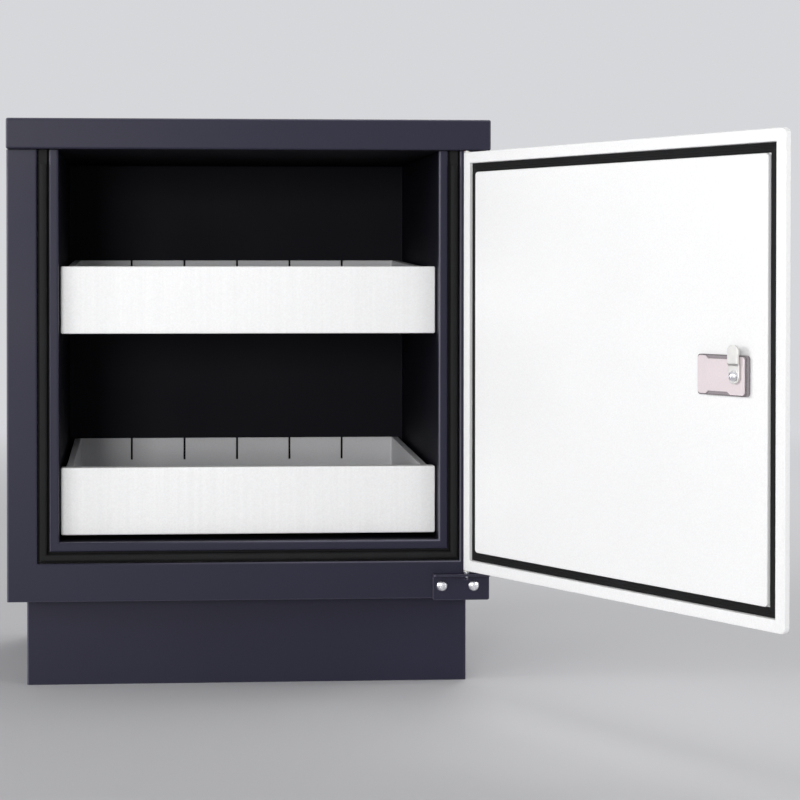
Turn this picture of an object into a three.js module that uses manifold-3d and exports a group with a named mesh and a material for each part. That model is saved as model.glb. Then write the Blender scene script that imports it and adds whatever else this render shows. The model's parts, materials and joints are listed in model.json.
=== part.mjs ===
// Data storage cabinet: an insulated steel cabinet with a thin overlay door on pivot pins
// and two drawers on telescopic ball slides. Millimetres, +Z up, the front faces -Y.
// The origin is the centre of the casing's footprint, on the floor. The door stands open.
import * as THREE from 'three';
import { mergeVertices } from 'three/addons/utils/BufferGeometryUtils.js';
import Module from 'manifold-3d';

const wasm = await Module();
wasm.setup();

// Carcass
const bodyWidth = 550;
const casingDepth = 400;
const casingHeight = 512;
const sheet = 2;
const cornerRadius = 2.5;
const plinthHeight = 103;
const plinthSideInset = 20;
const plinthFrontRecess = 46;
const plinthRearInset = 12;
const capHeight = 35;
const capOverhang = 9;
const capRadius = 2.5;
const rearWall = 58;

// Front frame: rim, seal groove and lip, from the outside to the opening
const sideRim = 34.5;
const sillRim = 43;
const grooveWidth = 13.5;
const grooveDepth = 8;
const lipWidth = 10.5;

// Gaps between pieces that are fixed together, and between pieces that run past each other
const fitGap = 0.3;
const runGap = 0.4;

// Length by which a cut runs past the piece that it goes through
const overrun = 5;

// Seal in the groove: a flat foot with a round-nosed bulb
const sealFoot = 3;
const bulbWidth = 8.6;
const bulbRadius = 2.4;

// Door leaf
const leafThickness = 7;
const channelDepth = 5;
const channelWidth = 10.3;
const channelRadius = 2;
const flangeWidth = 12.75;
const doorTopGap = 2;
const gasketThickness = 1.2;
const leafFreeRadius = 6;
const leafHingeRadius = 1.5;
const leafEdgeRadius = 1.2;
const panelSheet = 1.2;
const panelRadius = 4;
const panelEdgeRadius = 1;
const doorOpenDegrees = 118.3;

// Pivots of the door
const pinDiameter = 3.6;
const pinReach = 12;
const pinCollar = 6.6;
const pinFoot = 2;
const pinPlateWidth = 12;
const pinPlateDepth = 10;
const pinPlateHeight = 3;
const bushWall = 0.5;
const bushLength = 14;
const bushFlange = 6.6;
const bushFlangeHeight = 1;

// Hinge bracket below the door
const bracketWidth = 65;
const bracketHeight = 30.5;
const bracketSheet = 2.5;
const bracketLedge = 12;
const bracketDrop = 2.4;
const bracketEdge = 0.6;
const bracketScrewInset = 18;
const bracketScrewPitch = 36.5;
const bracketScrewDrop = 14;
const bracketScrewHead = 12.5;
const bracketScrewHeight = 3.2;
const bracketScrewShank = 5;
const bracketScrewLength = 6;
const driveSlotWidth = 1.8;
const driveSlotDepth = 1.2;

// Drawers: a folded front on a sheet tray
const drawerSetback = 20;
const drawerPitch = 230;
const drawerSideGap = 1.5;
const drawerRearGap = 3.5;
const drawerTravel = 280;
const lowerFrontGap = 6;
const frontHeight = 77;
const frontThickness = 15;
const frontSheet = 1.5;
const frontRadius = 2;
const frontEdgeRadius = 1;
const traySheet = 1.2;
const trayLift = 6;
const trayRise = 8.2;
const trayCornerRadius = 3;
const trayFrontDrop = 2;
const hemWidth = 6.5;
const hemReturn = 8;
const slitCount = 5;
const slitPitch = 68.2;
const slitWidth = 2.5;
const slitDepth = 28;

// Telescopic slides: outer, middle and inner members with two ball cages between them
const slideHeight = 45;
const slideSheet = 1.2;
const slideLip = 0.8;
const slideEndInset = 3.5;
const slideEndGap = 1.1;
const slideCentreHeight = 39;
const ballDiameter = 4;
const ballGap = 0.3;
const ballsInRow = 4;
const cageSheet = 0.8;
const cageWebGap = 0.7;
const cageMargin = 8;
const cageEnd = 10;

// Lock on the inside of the door
const spindleFromFreeEdge = 58.2;
const spindleFromTop = 236.3;
const spindleDiameter = 9;
const spindleGap = 0.5;
const caseWidth = 66.8;
const caseHeight = 39.6;
const caseDepth = 5.4;
const caseSheet = 1.5;
const caseFreeSide = 12.7;
const caseRadius = 3.5;
const coverThickness = 1.6;
const coverInset = 1.2;
const notchLength = 26;
const notchDepth = 2.8;
const notchFlare = 4;
const notchOffset = 15;
const camWidth = 14;
const camReach = 30.1;
const camHub = 7.6;
const camThickness = 2.8;
const camJoggle = 1.8;
const camJoggleStart = 10;
const camTipRadius = 6;
const camScrewHead = 10.6;
const camScrewHeight = 3;
const camScrewShank = 5;
const camScrewLength = 9;

// Keeper cup behind the lip, which the cam turns into
const keeperPlay = 1.4;
const keeperSheet = 1.6;
const keeperDepth = 6;

// Handle on the outside of the door
const rosetteDiameter = 44;
const rosetteThickness = 4;
const neckDiameter = 20;
const neckLength = 12;
const gripLength = 78;
const gripWidth = 18;
const gripThickness = 13;
const gripBevel = 2;
const socketDepth = 8;
const plugDiameter = 12;
const plugDepth = 8;
const plugProud = 0.8;
const keywayWidth = 2.2;
const keywayLength = 8;
const keywayDepth = 4;

// Fineness of the arcs, and the tolerance that joins the shared vertices of a mesh
const arcSteps = 4;
const roundSides = 20;
const ballSides = 8;
const mergeTolerance = 1e-5;

// Places on the carcass that follow from the driving dimensions
const halfBody = bodyWidth / 2;
const faceY = -casingDepth / 2;
const backY = casingDepth / 2;
const casingBottom = plinthHeight;
const casingTop = casingBottom + casingHeight;
const wallTop = casingTop - fitGap;
const capTop = casingTop + capHeight;
const openingHalf = halfBody - sideRim - grooveWidth - lipWidth;
const openingBottom = casingBottom + sillRim + grooveWidth + lipWidth;
const linerHalf = openingHalf + sheet;
const linerFront = faceY + grooveDepth + fitGap;
const linerBack = backY - rearWall;
const grooveHalf = halfBody - sideRim - grooveWidth / 2;
const grooveLow = casingBottom + sillRim + grooveWidth / 2;
const capInsideHalf = halfBody - sheet - fitGap;
const capInsideFront = faceY - capOverhang + sheet + fitGap;
const capInsideBack = backY - sheet - fitGap;

// Places on the shut door
const doorHalf = grooveHalf + channelWidth / 2 + flangeWidth;
const doorBottom = grooveLow - channelWidth / 2 - flangeWidth;
const doorTop = casingTop - doorTopGap;
const leafInner = faceY - fitGap;
const leafOuter = leafInner - leafThickness;
const channelFloor = leafInner - channelDepth;
const panelHalf = doorHalf - flangeWidth - channelWidth;
const panelBottom = doorBottom + flangeWidth + channelWidth;
const panelTop = doorTop - flangeWidth - channelWidth;
const pivotX = doorHalf - leafThickness / 2;
const pivotY = leafInner - leafThickness / 2;
const sealCrown = channelFloor + fitGap + gasketThickness + fitGap;
const pinBore = pinDiameter + 2 * runGap;
const bushDiameter = pinBore + 2 * bushWall;
const bushHole = bushDiameter + 2 * fitGap;
const bracketTop = doorBottom - bushFlangeHeight - bracketDrop;

// Places on the lock and the handle, with the door shut
const spindleX = spindleFromFreeEdge - doorHalf;
const spindleZ = doorTop - spindleFromTop;
const spindleHole = spindleDiameter + 2 * spindleGap;
const caseBack = leafInner + caseDepth;
const coverBack = caseBack + coverThickness;
const camFront = coverBack + fitGap;
const camBack = camFront + camThickness;
const rosetteBack = leafOuter - fitGap;
const rosetteFront = rosetteBack - rosetteThickness;
const neckFront = rosetteFront - neckLength;
const gripFront = neckFront - gripThickness;

// Places on the lower drawer, pushed in
const frontHalf = openingHalf - drawerSideGap;
const frontY = faceY + drawerSetback;
const frontBack = frontY + frontThickness;
const frontBottom = openingBottom + lowerFrontGap;
const frontTop = frontBottom + frontHeight;
const trayFront = frontBack + fitGap;
const trayBack = linerBack - drawerRearGap;
const trayBottom = frontBottom + trayLift;
const trayTop = frontTop + trayRise;
const hemFront = trayFront + trayCornerRadius;
const hemBack = trayBack - trayCornerRadius;
const slideFront = trayFront + slideEndInset;
const slideBack = trayBack - slideEndInset;
const slideZ = frontBottom + slideCentreHeight;

// Section of a slide: distances from the wall, then heights from the slide's centre line
const outerCageWeb = slideSheet + cageWebGap;
const middleWeb = outerCageWeb + cageSheet + cageWebGap;
const outerRow = middleWeb + ballDiameter / 2;
const outerEnd = outerRow + ballDiameter / 2 + ballGap + slideSheet;
const innerCageWeb = middleWeb + slideSheet + cageWebGap;
const innerStart = innerCageWeb + cageSheet + cageWebGap;
const innerRow = innerCageWeb + cageSheet + ballDiameter / 2;
const middleEnd = innerRow + ballDiameter / 2 + ballGap + slideSheet;
const slideThickness = middleEnd + slideEndGap;
const outerHalf = slideHeight / 2;
const outerRowHeight = outerHalf - slideSheet - ballGap - ballDiameter / 2;
const middleHalf = outerRowHeight - ballDiameter / 2 - ballGap;
const innerRowHeight = middleHalf - slideSheet - ballGap - ballDiameter / 2;
const innerHalf = innerRowHeight - ballDiameter / 2 - ballGap;
const trayHalf = openingHalf - fitGap - slideThickness - fitGap;

// Finishes of the painted, moulded and plated surfaces
const finish = (color, roughness, metalness) =>
  new THREE.MeshStandardMaterial({ color, roughness, metalness });
const slatePaint = finish(0x3e3d4b, 0.45, 0.2);
const linerPaint = finish(0x1c1c21, 0.6, 0.2);
const whitePaint = finish(0xf4f4f4, 0.35, 0.1);
const trayPaint = finish(0xc9c9cb, 0.4, 0.2);
const blackRubber = finish(0x26262a, 0.8, 0);
const fibreBoard = finish(0xb9b3a4, 0.95, 0);
const zincSteel = finish(0xb9bcc0, 0.35, 0.9);
const brightSteel = finish(0xe3e3ed, 0.25, 0.9);
const lockPaint = finish(0xe9dee1, 0.4, 0.3);
const blackSteel = finish(0x3a3842, 0.5, 0.4);
const nylon = finish(0xe8e6df, 0.5, 0);
const slideSteel = finish(0x8d8f94, 0.35, 0.9);

// A solid is made from any closed geometry, and its surface goes back into a geometry
function solid(geometry) {
  const bare = geometry.clone();
  bare.deleteAttribute('normal');
  bare.deleteAttribute('uv');
  const merged = mergeVertices(bare, mergeTolerance);
  return new wasm.Manifold(new wasm.Mesh({
    numProp: 3,
    vertProperties: new Float32Array(merged.attributes.position.array),
    triVerts: new Uint32Array(merged.index.array),
  }));
}

function surface(body) {
  const mesh = body.getMesh();
  const geometry = new THREE.BufferGeometry();
  geometry.setAttribute('position', new THREE.BufferAttribute(mesh.vertProperties, mesh.numProp));
  geometry.setIndex(new THREE.BufferAttribute(mesh.triVerts, 1));
  geometry.computeVertexNormals();
  return geometry;
}

const join = (...bodies) => bodies.reduce((all, body) => all.add(body));
const cut = (body, ...tools) => tools.reduce((rest, tool) => rest.subtract(tool), body);
const common = (...bodies) => bodies.reduce((all, body) => all.intersect(body));

function block(x0, x1, y0, y1, z0, z1) {
  const geometry = new THREE.BoxGeometry(x1 - x0, y1 - y0, z1 - z0);
  return solid(geometry.translate((x0 + x1) / 2, (y0 + y1) / 2, (z0 + z1) / 2));
}

// A rectangle with one corner radius, or one each for low left, low right, top right and top left
function rectangle(x0, x1, y0, y1, ...radii) {
  const corners = [[x0, y0, 1, 1], [x1, y0, -1, 1], [x1, y1, -1, -1], [x0, y1, 1, -1]];
  const points = corners.flatMap(([x, y, sideX, sideY], index) => {
    const radius = radii[index % radii.length];
    if (!(radius > 0)) {
      return [new THREE.Vector2(x, y)];
    }
    const start = Math.PI * (1 + index / 2);
    return Array.from({ length: arcSteps + 1 }, (_, step) => {
      const angle = start + (step / arcSteps) * (Math.PI / 2);
      return new THREE.Vector2(
        x + radius * (sideX + Math.cos(angle)),
        y + radius * (sideY + Math.sin(angle)),
      );
    });
  });
  return new THREE.Shape(points);
}

// A U that stands open at the top: outer half width, foot and top, thickness of walls and floor
function trough(half, low, high, side, floor) {
  const points = [
    [-half, low], [half, low], [half, high], [half - side, high],
    [half - side, low + floor], [side - half, low + floor], [side - half, high], [-half, high],
  ];
  return new THREE.Shape(points.map(([x, y]) => new THREE.Vector2(x, y)));
}

// Axes of an outline that is drawn across an axis: 'x' reads (y, z), 'y' reads (x, z), 'z' reads (x, y)
function across(geometry, axis, from, to) {
  const [x, y, z] = [new THREE.Vector3(1, 0, 0), new THREE.Vector3(0, 1, 0), new THREE.Vector3(0, 0, 1)];
  const turn = {
    x: () => new THREE.Matrix4().makeBasis(y, z, x).setPosition(from, 0, 0),
    y: () => new THREE.Matrix4().makeBasis(x, z, y.clone().negate()).setPosition(0, to, 0),
    z: () => new THREE.Matrix4().setPosition(0, 0, from),
  };
  return solid(geometry.applyMatrix4(turn[axis]()));
}

function prism(outline, axis, from, to) {
  const geometry = new THREE.ExtrudeGeometry(outline, { depth: to - from, bevelEnabled: false });
  return across(geometry, axis, from, to);
}

// A round bar along Y or Z, centred on the other two coordinates
function bar(diameter, axis, from, to, a, b) {
  const geometry = new THREE.CylinderGeometry(diameter / 2, diameter / 2, to - from, roundSides);
  const middle = (from + to) / 2;
  if (axis === 'y') {
    return solid(geometry.translate(a, middle, b));
  }
  return solid(geometry.rotateX(Math.PI / 2).translate(a, b, middle));
}

// A domed screw along Y: its head stands out to `side` of the seat and has a slot across it
function domedScrew(head, height, shank, length, x, seat, z, side) {
  const dome = new THREE.QuadraticBezierCurve(
    new THREE.Vector2(head / 2, 0), new THREE.Vector2(head / 2, height), new THREE.Vector2(0, height),
  );
  const profile = [new THREE.Vector2(0, 0), ...dome.getPoints(arcSteps)];
  const geometry = new THREE.LatheGeometry(profile, roundSides);
  if (side < 0) {
    geometry.rotateX(Math.PI);
  }
  const cap = solid(geometry.translate(x, seat, z));
  const ends = [seat - side * length, seat + side * height / 2];
  const stem = bar(shank, 'y', Math.min(...ends), Math.max(...ends), x, z);
  const slotEnds = [seat + side * (height - driveSlotDepth), seat + side * (height + overrun)];
  const slot = block(
    x - driveSlotWidth / 2, x + driveSlotWidth / 2, Math.min(...slotEnds), Math.max(...slotEnds),
    z - head / 2, z + head / 2,
  );
  return cut(join(cap, stem), slot);
}

// Groups: the whole cabinet stands still, and what moves hangs in a group at its own pivot.
// Bodies are drawn with the door shut, so each group takes its pivot off them.
function pivotGroup(parent, x, y, z) {
  const group = new THREE.Group();
  group.userData.pivot = new THREE.Vector3(x, y, z);
  if (parent) {
    group.position.copy(group.userData.pivot).sub(parent.userData.pivot);
    parent.add(group);
  }
  return group;
}

const cabinet = pivotGroup(null, 0, 0, 0);
const door = pivotGroup(cabinet, pivotX, pivotY, 0);
const handle = pivotGroup(door, spindleX, leafOuter, spindleZ);
const key = pivotGroup(handle, spindleX, gripFront, spindleZ);
door.rotation.z = THREE.MathUtils.degToRad(doorOpenDegrees);

function add(name, body, material, group = cabinet) {
  const { x, y, z } = group.userData.pivot;
  const mesh = new THREE.Mesh(surface(body).translate(-x, -y, -z), material);
  mesh.name = name;
  group.add(mesh);
}

// Carcass
function plinth() {
  const half = halfBody - plinthSideInset;
  const front = faceY + plinthFrontRecess;
  const back = backY - plinthRearInset;
  const top = plinthHeight - fitGap;
  const outer = prism(rectangle(-half, half, front, back, cornerRadius), 'z', 0, top);
  const inside = block(sheet - half, half - sheet, front + sheet, back - sheet, sheet, top + overrun);
  return cut(outer, inside);
}

// Sides, floor, rim and the rim's fold into the groove are one folded sheet
function outerCasing() {
  const wrap = prism(trough(halfBody, casingBottom, wallTop, sheet, sheet), 'y', faceY, backY);
  const rim = prism(trough(halfBody, casingBottom, wallTop, sideRim, sillRim), 'y', faceY, faceY + sheet);
  const foldHalf = halfBody - sideRim + sheet;
  const foldLow = casingBottom + sillRim - sheet;
  const fold = prism(trough(foldHalf, foldLow, wallTop, sheet, sheet), 'y', faceY, faceY + grooveDepth);
  const round = rectangle(-halfBody, halfBody, faceY, backY + overrun, cornerRadius, cornerRadius, 0, 0);
  const plan = prism(round, 'z', casingBottom - overrun, casingTop + overrun);
  const holes = screwPlaces.map(([x, z]) =>
    bar(bracketScrewShank + 2 * fitGap, 'y', faceY - overrun, faceY + sheet + overrun, x, z));
  return cut(common(join(wrap, rim, fold), plan), ...holes);
}

function backCover() {
  const half = halfBody - sheet - fitGap;
  return block(-half, half, backY - sheet, backY, casingBottom + sheet + fitGap, wallTop);
}

// The cap is a folded lid, rounded on all its outer edges
function topCap() {
  const front = faceY - capOverhang;
  const frontView = prism(rectangle(-halfBody, halfBody, casingTop, capTop, capRadius), 'y', front, backY);
  const sideView = prism(rectangle(front, backY, casingTop, capTop, capRadius), 'x', -halfBody, halfBody);
  const plan = prism(rectangle(-halfBody, halfBody, front, backY, cornerRadius), 'z', casingTop, capTop);
  const inside = block(
    sheet - halfBody, halfBody - sheet, front + sheet, backY - sheet, casingTop - overrun, capTop - sheet,
  );
  return cut(common(frontView, sideView, plan), inside);
}

function ceilingPanel() {
  const panel = block(
    -capInsideHalf, capInsideHalf, capInsideFront, capInsideBack, casingTop, casingTop + sheet,
  );
  const hole = bar(pinDiameter + 2 * fitGap, 'z', casingTop - overrun, casingTop + overrun, pivotX, pivotY);
  return cut(panel, hole);
}

const pinPlateLow = casingTop + sheet + fitGap;

function topInsulation() {
  const low = casingTop + sheet + fitGap;
  const high = capTop - sheet - fitGap;
  const slab = block(-capInsideHalf, capInsideHalf, capInsideFront, capInsideBack, low, high);
  const half = pinPlateWidth / 2 + fitGap;
  const pocket = block(
    pivotX - half, pivotX + half, capInsideFront - overrun, capInsideFront + pinPlateDepth + fitGap,
    low - overrun, low + pinPlateHeight + fitGap,
  );
  return cut(slab, pocket);
}

// Boards of insulation between the liner and the casing
const boardNear = linerHalf + fitGap;
const boardFar = halfBody - sheet - fitGap;
const boardLow = casingBottom + sheet + fitGap;
const boardBack = backY - sheet - fitGap;

function rightBoard() {
  return block(boardNear, boardFar, linerFront, boardBack, boardLow, wallTop);
}

function leftBoard() {
  const board = block(-boardFar, -boardNear, linerFront, boardBack, boardLow, wallTop);
  const pocket = block(
    keeperLeft - fitGap, overrun - boardNear, linerFront - overrun, keeperBack + fitGap,
    keeperLow - keeperSheet - fitGap, keeperHigh + keeperSheet + fitGap,
  );
  return cut(board, pocket);
}

function floorBoard() {
  return block(
    -linerHalf, linerHalf, linerFront, linerBack + sheet, boardLow, openingBottom - sheet - fitGap,
  );
}

function rearBoard() {
  return block(-linerHalf, linerHalf, linerBack + sheet + fitGap, boardBack, boardLow, wallTop);
}

// The liner is a box open to the front, with a slot in its left wall for the cam
function innerLiner() {
  const outer = block(-linerHalf, linerHalf, linerFront, linerBack + sheet, openingBottom - sheet, wallTop);
  const inside = block(
    -openingHalf, openingHalf, linerFront - overrun, linerBack, openingBottom, casingTop + overrun,
  );
  const slot = block(
    -linerHalf - overrun, overrun - openingHalf, linerFront - overrun, keeperBack - keeperSheet,
    keeperLow, keeperHigh,
  );
  return cut(outer, inside, slot);
}

function lipFrame() {
  const half = openingHalf + lipWidth;
  const low = openingBottom - lipWidth;
  const back = faceY + grooveDepth;
  const face = prism(trough(half, low, wallTop, lipWidth, lipWidth), 'y', faceY, faceY + sheet);
  const outerFold = prism(trough(half, low, wallTop, sheet, sheet), 'y', faceY, back);
  const innerFold = prism(trough(linerHalf, openingBottom - sheet, wallTop, sheet, sheet), 'y', faceY, back);
  return join(face, outerFold, innerFold);
}

// The seal's foot fills the groove, and its bulb reaches into the channel of the shut door.
// Above the channel the bulb is cut back, so that the door's top flange passes in front of it.
function frameSeal() {
  const foot = grooveWidth / 2 - fitGap;
  const bulb = bulbWidth / 2;
  const back = faceY + grooveDepth;
  const footOutline = trough(grooveHalf + foot, grooveLow - foot, wallTop, 2 * foot, 2 * foot);
  const base = prism(footOutline, 'y', back - sealFoot, back);
  const upright = (middle) => prism(
    rectangle(middle - bulb, middle + bulb, sealCrown, back, bulbRadius, bulbRadius, 0, 0),
    'z', grooveLow, wallTop,
  );
  const low = prism(
    rectangle(sealCrown, back, grooveLow - bulb, grooveLow + bulb, bulbRadius, 0, 0, bulbRadius),
    'x', -grooveHalf - bulb, grooveHalf + bulb,
  );
  const clearance = block(
    -halfBody, halfBody, sealCrown - overrun, leafInner + 2 * fitGap,
    doorTop - flangeWidth - channelRadius, casingTop + overrun,
  );
  return cut(join(base, upright(-grooveHalf), upright(grooveHalf), low), clearance);
}

// Keeper cup: open to the front and to the opening, as high as the cam needs to swing in
const camTip = spindleX - camReach;
const keeperLeft = camTip - keeperPlay - keeperSheet;
const keeperBack = linerFront + keeperDepth + keeperSheet;
const keeperSwing = Math.sqrt(Math.max(0, camReach ** 2 - (spindleX + openingHalf) ** 2));
const keeperLow = spindleZ - camWidth / 2 - keeperPlay;
const keeperHigh = spindleZ + keeperSwing + camWidth / 2 + keeperPlay;

function keeperCup() {
  const right = -boardNear;
  const outer = block(
    keeperLeft, right, linerFront + fitGap, keeperBack, keeperLow - keeperSheet, keeperHigh + keeperSheet,
  );
  const inside = block(
    keeperLeft + keeperSheet, right + overrun, linerFront - overrun, keeperBack - keeperSheet,
    keeperLow, keeperHigh,
  );
  return cut(outer, inside);
}

// Hinge bracket: an angle screwed to the sill, whose ledge carries the lower pin
const bracketRight = halfBody - bracketEdge;
const bracketBack = faceY - fitGap;
const screwRight = bracketRight - bracketScrewInset;
const screwZ = bracketTop - bracketScrewDrop;
const screwPlaces = [[screwRight - bracketScrewPitch, screwZ], [screwRight, screwZ]];

function hingeBracket() {
  const left = bracketRight - bracketWidth;
  const low = bracketTop - bracketHeight;
  const front = bracketBack - bracketLedge;
  const outline = rectangle(left, bracketRight, low, bracketTop, cornerRadius, cornerRadius, 0, 0);
  const plate = prism(outline, 'y', bracketBack - bracketSheet, bracketBack);
  const plan = rectangle(left, bracketRight, front, bracketBack, cornerRadius, cornerRadius, 0, 0);
  const ledge = prism(plan, 'z', bracketTop - bracketSheet, bracketTop);
  const holes = screwPlaces.map(([x, z]) =>
    bar(bracketScrewShank + 2 * fitGap, 'y', front, bracketBack + overrun, x, z));
  const pinHole = bar(
    pinDiameter + 2 * fitGap, 'z', bracketTop - bracketSheet - overrun, bracketTop + overrun, pivotX, pivotY,
  );
  return cut(join(plate, ledge), ...holes, pinHole);
}

function bracketScrew([x, z]) {
  const seat = bracketBack - bracketSheet - fitGap;
  return domedScrew(
    bracketScrewHead, bracketScrewHeight, bracketScrewShank, bracketScrewLength, x, seat, z, -1,
  );
}

// The lower pin stands in the bracket on a collar, and the upper pin hangs from a plate in the cap
function lowerPin() {
  const shank = bar(
    pinDiameter, 'z', bracketTop - bracketSheet - pinFoot, doorBottom + pinReach, pivotX, pivotY,
  );
  const collarTop = doorBottom - fitGap - bushFlangeHeight - fitGap;
  const collar = bar(pinCollar, 'z', bracketTop + fitGap, collarTop, pivotX, pivotY);
  return join(shank, collar);
}

function upperPin() {
  const plate = block(
    pivotX - pinPlateWidth / 2, pivotX + pinPlateWidth / 2,
    capInsideFront, capInsideFront + pinPlateDepth, pinPlateLow, pinPlateLow + pinPlateHeight,
  );
  const shank = bar(pinDiameter, 'z', doorTop - pinReach, pinPlateLow + pinPlateHeight / 2, pivotX, pivotY);
  return join(plate, shank);
}

// Door leaf, drawn shut: a pan whose flange stands round the channel
const spindleBore = () => bar(spindleHole, 'y', leafOuter - overrun, coverBack + overrun, spindleX, spindleZ);

function doorSkin() {
  const face = rectangle(
    -doorHalf, doorHalf, doorBottom, doorTop,
    leafFreeRadius, leafHingeRadius, leafHingeRadius, leafFreeRadius,
  );
  const hingeRound = (leafThickness - leafEdgeRadius / arcSteps) / 2;
  const plan = rectangle(
    -doorHalf, doorHalf, leafOuter, leafInner,
    leafEdgeRadius, hingeRound, hingeRound, leafEdgeRadius,
  );
  const leaf = common(
    prism(face, 'y', leafOuter, leafInner),
    prism(plan, 'z', doorBottom, doorTop),
  );
  const pocket = rectangle(
    flangeWidth - doorHalf, doorHalf - flangeWidth, doorBottom + flangeWidth, doorTop - flangeWidth,
    channelRadius,
  );
  const bushes = [
    bar(bushHole, 'z', doorBottom - overrun, doorBottom + bushLength + fitGap, pivotX, pivotY),
    bar(bushHole, 'z', doorTop - bushLength - fitGap, doorTop + overrun, pivotX, pivotY),
  ];
  return cut(leaf, prism(pocket, 'y', channelFloor, leafInner + overrun), spindleBore(), ...bushes);
}

// The gasket lies flat on the floor of the channel, all round the inner panel
function doorGasket() {
  const low = channelFloor + fitGap;
  const high = low + gasketThickness;
  const outer = rectangle(
    flangeWidth + fitGap - doorHalf, doorHalf - flangeWidth - fitGap,
    doorBottom + flangeWidth + fitGap, doorTop - flangeWidth - fitGap, channelRadius,
  );
  const inner = rectangle(
    -panelHalf - fitGap, panelHalf + fitGap, panelBottom - fitGap, panelTop + fitGap, panelRadius,
  );
  return cut(prism(outer, 'y', low, high), prism(inner, 'y', low - overrun, high + overrun));
}

function doorPanel() {
  const low = channelFloor + fitGap;
  const face = rectangle(-panelHalf, panelHalf, panelBottom, panelTop, panelRadius);
  const plan = rectangle(-panelHalf, panelHalf, low, leafInner, 0, 0, panelEdgeRadius, panelEdgeRadius);
  const side = rectangle(low, leafInner, panelBottom, panelTop, 0, panelEdgeRadius, panelEdgeRadius, 0);
  const pan = common(
    prism(face, 'y', low, leafInner),
    prism(plan, 'z', panelBottom, panelTop),
    prism(side, 'x', -panelHalf, panelHalf),
  );
  const hollow = rectangle(
    panelSheet - panelHalf, panelHalf - panelSheet, panelBottom + panelSheet, panelTop - panelSheet,
    panelRadius - panelSheet,
  );
  return cut(pan, prism(hollow, 'y', low - overrun, leafInner - panelSheet), spindleBore());
}

function doorCore() {
  const inset = panelSheet + fitGap;
  const outline = rectangle(
    inset - panelHalf, panelHalf - inset, panelBottom + inset, panelTop - inset, panelRadius - inset,
  );
  return cut(prism(outline, 'y', channelFloor + fitGap, leafInner - inset), spindleBore());
}

// Bushes of the pivots, each with a flange outside the leaf
function bush(edge, side) {
  const inner = edge - side * bushLength;
  const flangeNear = edge + side * fitGap;
  const flangeFar = flangeNear + side * bushFlangeHeight;
  const [low, high] = [Math.min(inner, flangeFar), Math.max(inner, flangeFar)];
  const body = bar(bushDiameter, 'z', low, high, pivotX, pivotY);
  const flange = bar(
    bushFlange, 'z', Math.min(flangeNear, flangeFar), Math.max(flangeNear, flangeFar), pivotX, pivotY,
  );
  return cut(join(body, flange), bar(pinBore, 'z', low - overrun, high + overrun, pivotX, pivotY));
}

// Lock on the inner panel
const caseLeft = spindleX - caseFreeSide;
const caseRight = caseLeft + caseWidth;
const caseLow = spindleZ - caseHeight / 2;
const caseHigh = spindleZ + caseHeight / 2;

function lockCase() {
  const front = leafInner + fitGap;
  const outer = prism(rectangle(caseLeft, caseRight, caseLow, caseHigh, caseRadius), 'y', front, caseBack);
  const inside = rectangle(
    caseLeft + caseSheet, caseRight - caseSheet, caseLow + caseSheet, caseHigh - caseSheet,
    caseRadius - caseSheet,
  );
  return cut(outer, prism(inside, 'y', front - overrun, caseBack - caseSheet), spindleBore());
}

// Notch with slanting ends: from outside the plate's edge inward to its floor, which ends at `right`
function notchOutline(right, edge, inward) {
  const left = right - notchLength;
  const outside = edge - inward * overrun;
  const floor = edge + inward * notchDepth;
  const points = [
    [left - notchFlare, outside], [right + notchFlare, outside], [right + notchFlare, edge],
    [right, floor], [left, floor], [left - notchFlare, edge],
  ];
  return new THREE.Shape(points.map(([x, z]) => new THREE.Vector2(x, z)));
}

// The cover plate has a shallow notch in its upper and lower edges, which leaves lobes at the corners
function lockCover() {
  const front = caseBack + fitGap;
  const left = caseLeft + coverInset;
  const right = caseRight - coverInset;
  const low = caseLow + coverInset;
  const high = caseHigh - coverInset;
  const plate = prism(rectangle(left, right, low, high, caseRadius), 'y', front, coverBack);
  const notches = [[low, 1], [high, -1]].map(([edge, inward]) =>
    prism(notchOutline(right - notchOffset, edge, inward), 'y', front - overrun, coverBack + overrun));
  return cut(plate, spindleBore(), ...notches);
}

// The cam points up when unlocked. Its arm is joggled away from the panel.
function lockCam() {
  const face = prism(
    rectangle(
      spindleX - camWidth / 2, spindleX + camWidth / 2, spindleZ - camHub, spindleZ + camReach,
      camTipRadius,
    ),
    'y', camFront, camBack + camJoggle,
  );
  const bendLow = spindleZ + camJoggleStart;
  const bendHigh = bendLow + camJoggle;
  const sidePoints = [
    [camFront, spindleZ - camHub], [camBack, spindleZ - camHub], [camBack, bendLow],
    [camBack + camJoggle, bendHigh], [camBack + camJoggle, spindleZ + camReach],
    [camFront + camJoggle, spindleZ + camReach], [camFront + camJoggle, bendHigh], [camFront, bendLow],
  ];
  const side = new THREE.Shape(sidePoints.map(([y, z]) => new THREE.Vector2(y, z)));
  const hole = bar(
    camScrewShank + 2 * fitGap, 'y', camFront - overrun, camBack + overrun, spindleX, spindleZ,
  );
  return cut(common(face, prism(side, 'x', spindleX - camWidth / 2, spindleX + camWidth / 2)), hole);
}

function camScrew() {
  return domedScrew(
    camScrewHead, camScrewHeight, camScrewShank, camScrewLength, spindleX, camBack + fitGap, spindleZ, 1,
  );
}

// The spindle runs from the handle's neck through the leaf to the cam
function spindle() {
  const outerEndY = rosetteBack - socketDepth + fitGap;
  const shaft = bar(spindleDiameter, 'y', outerEndY, camFront - fitGap, spindleX, spindleZ);
  const thread = bar(
    camScrewShank + 2 * fitGap, 'y', camBack - camScrewLength - fitGap, camFront, spindleX, spindleZ,
  );
  return cut(shaft, thread);
}

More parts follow.
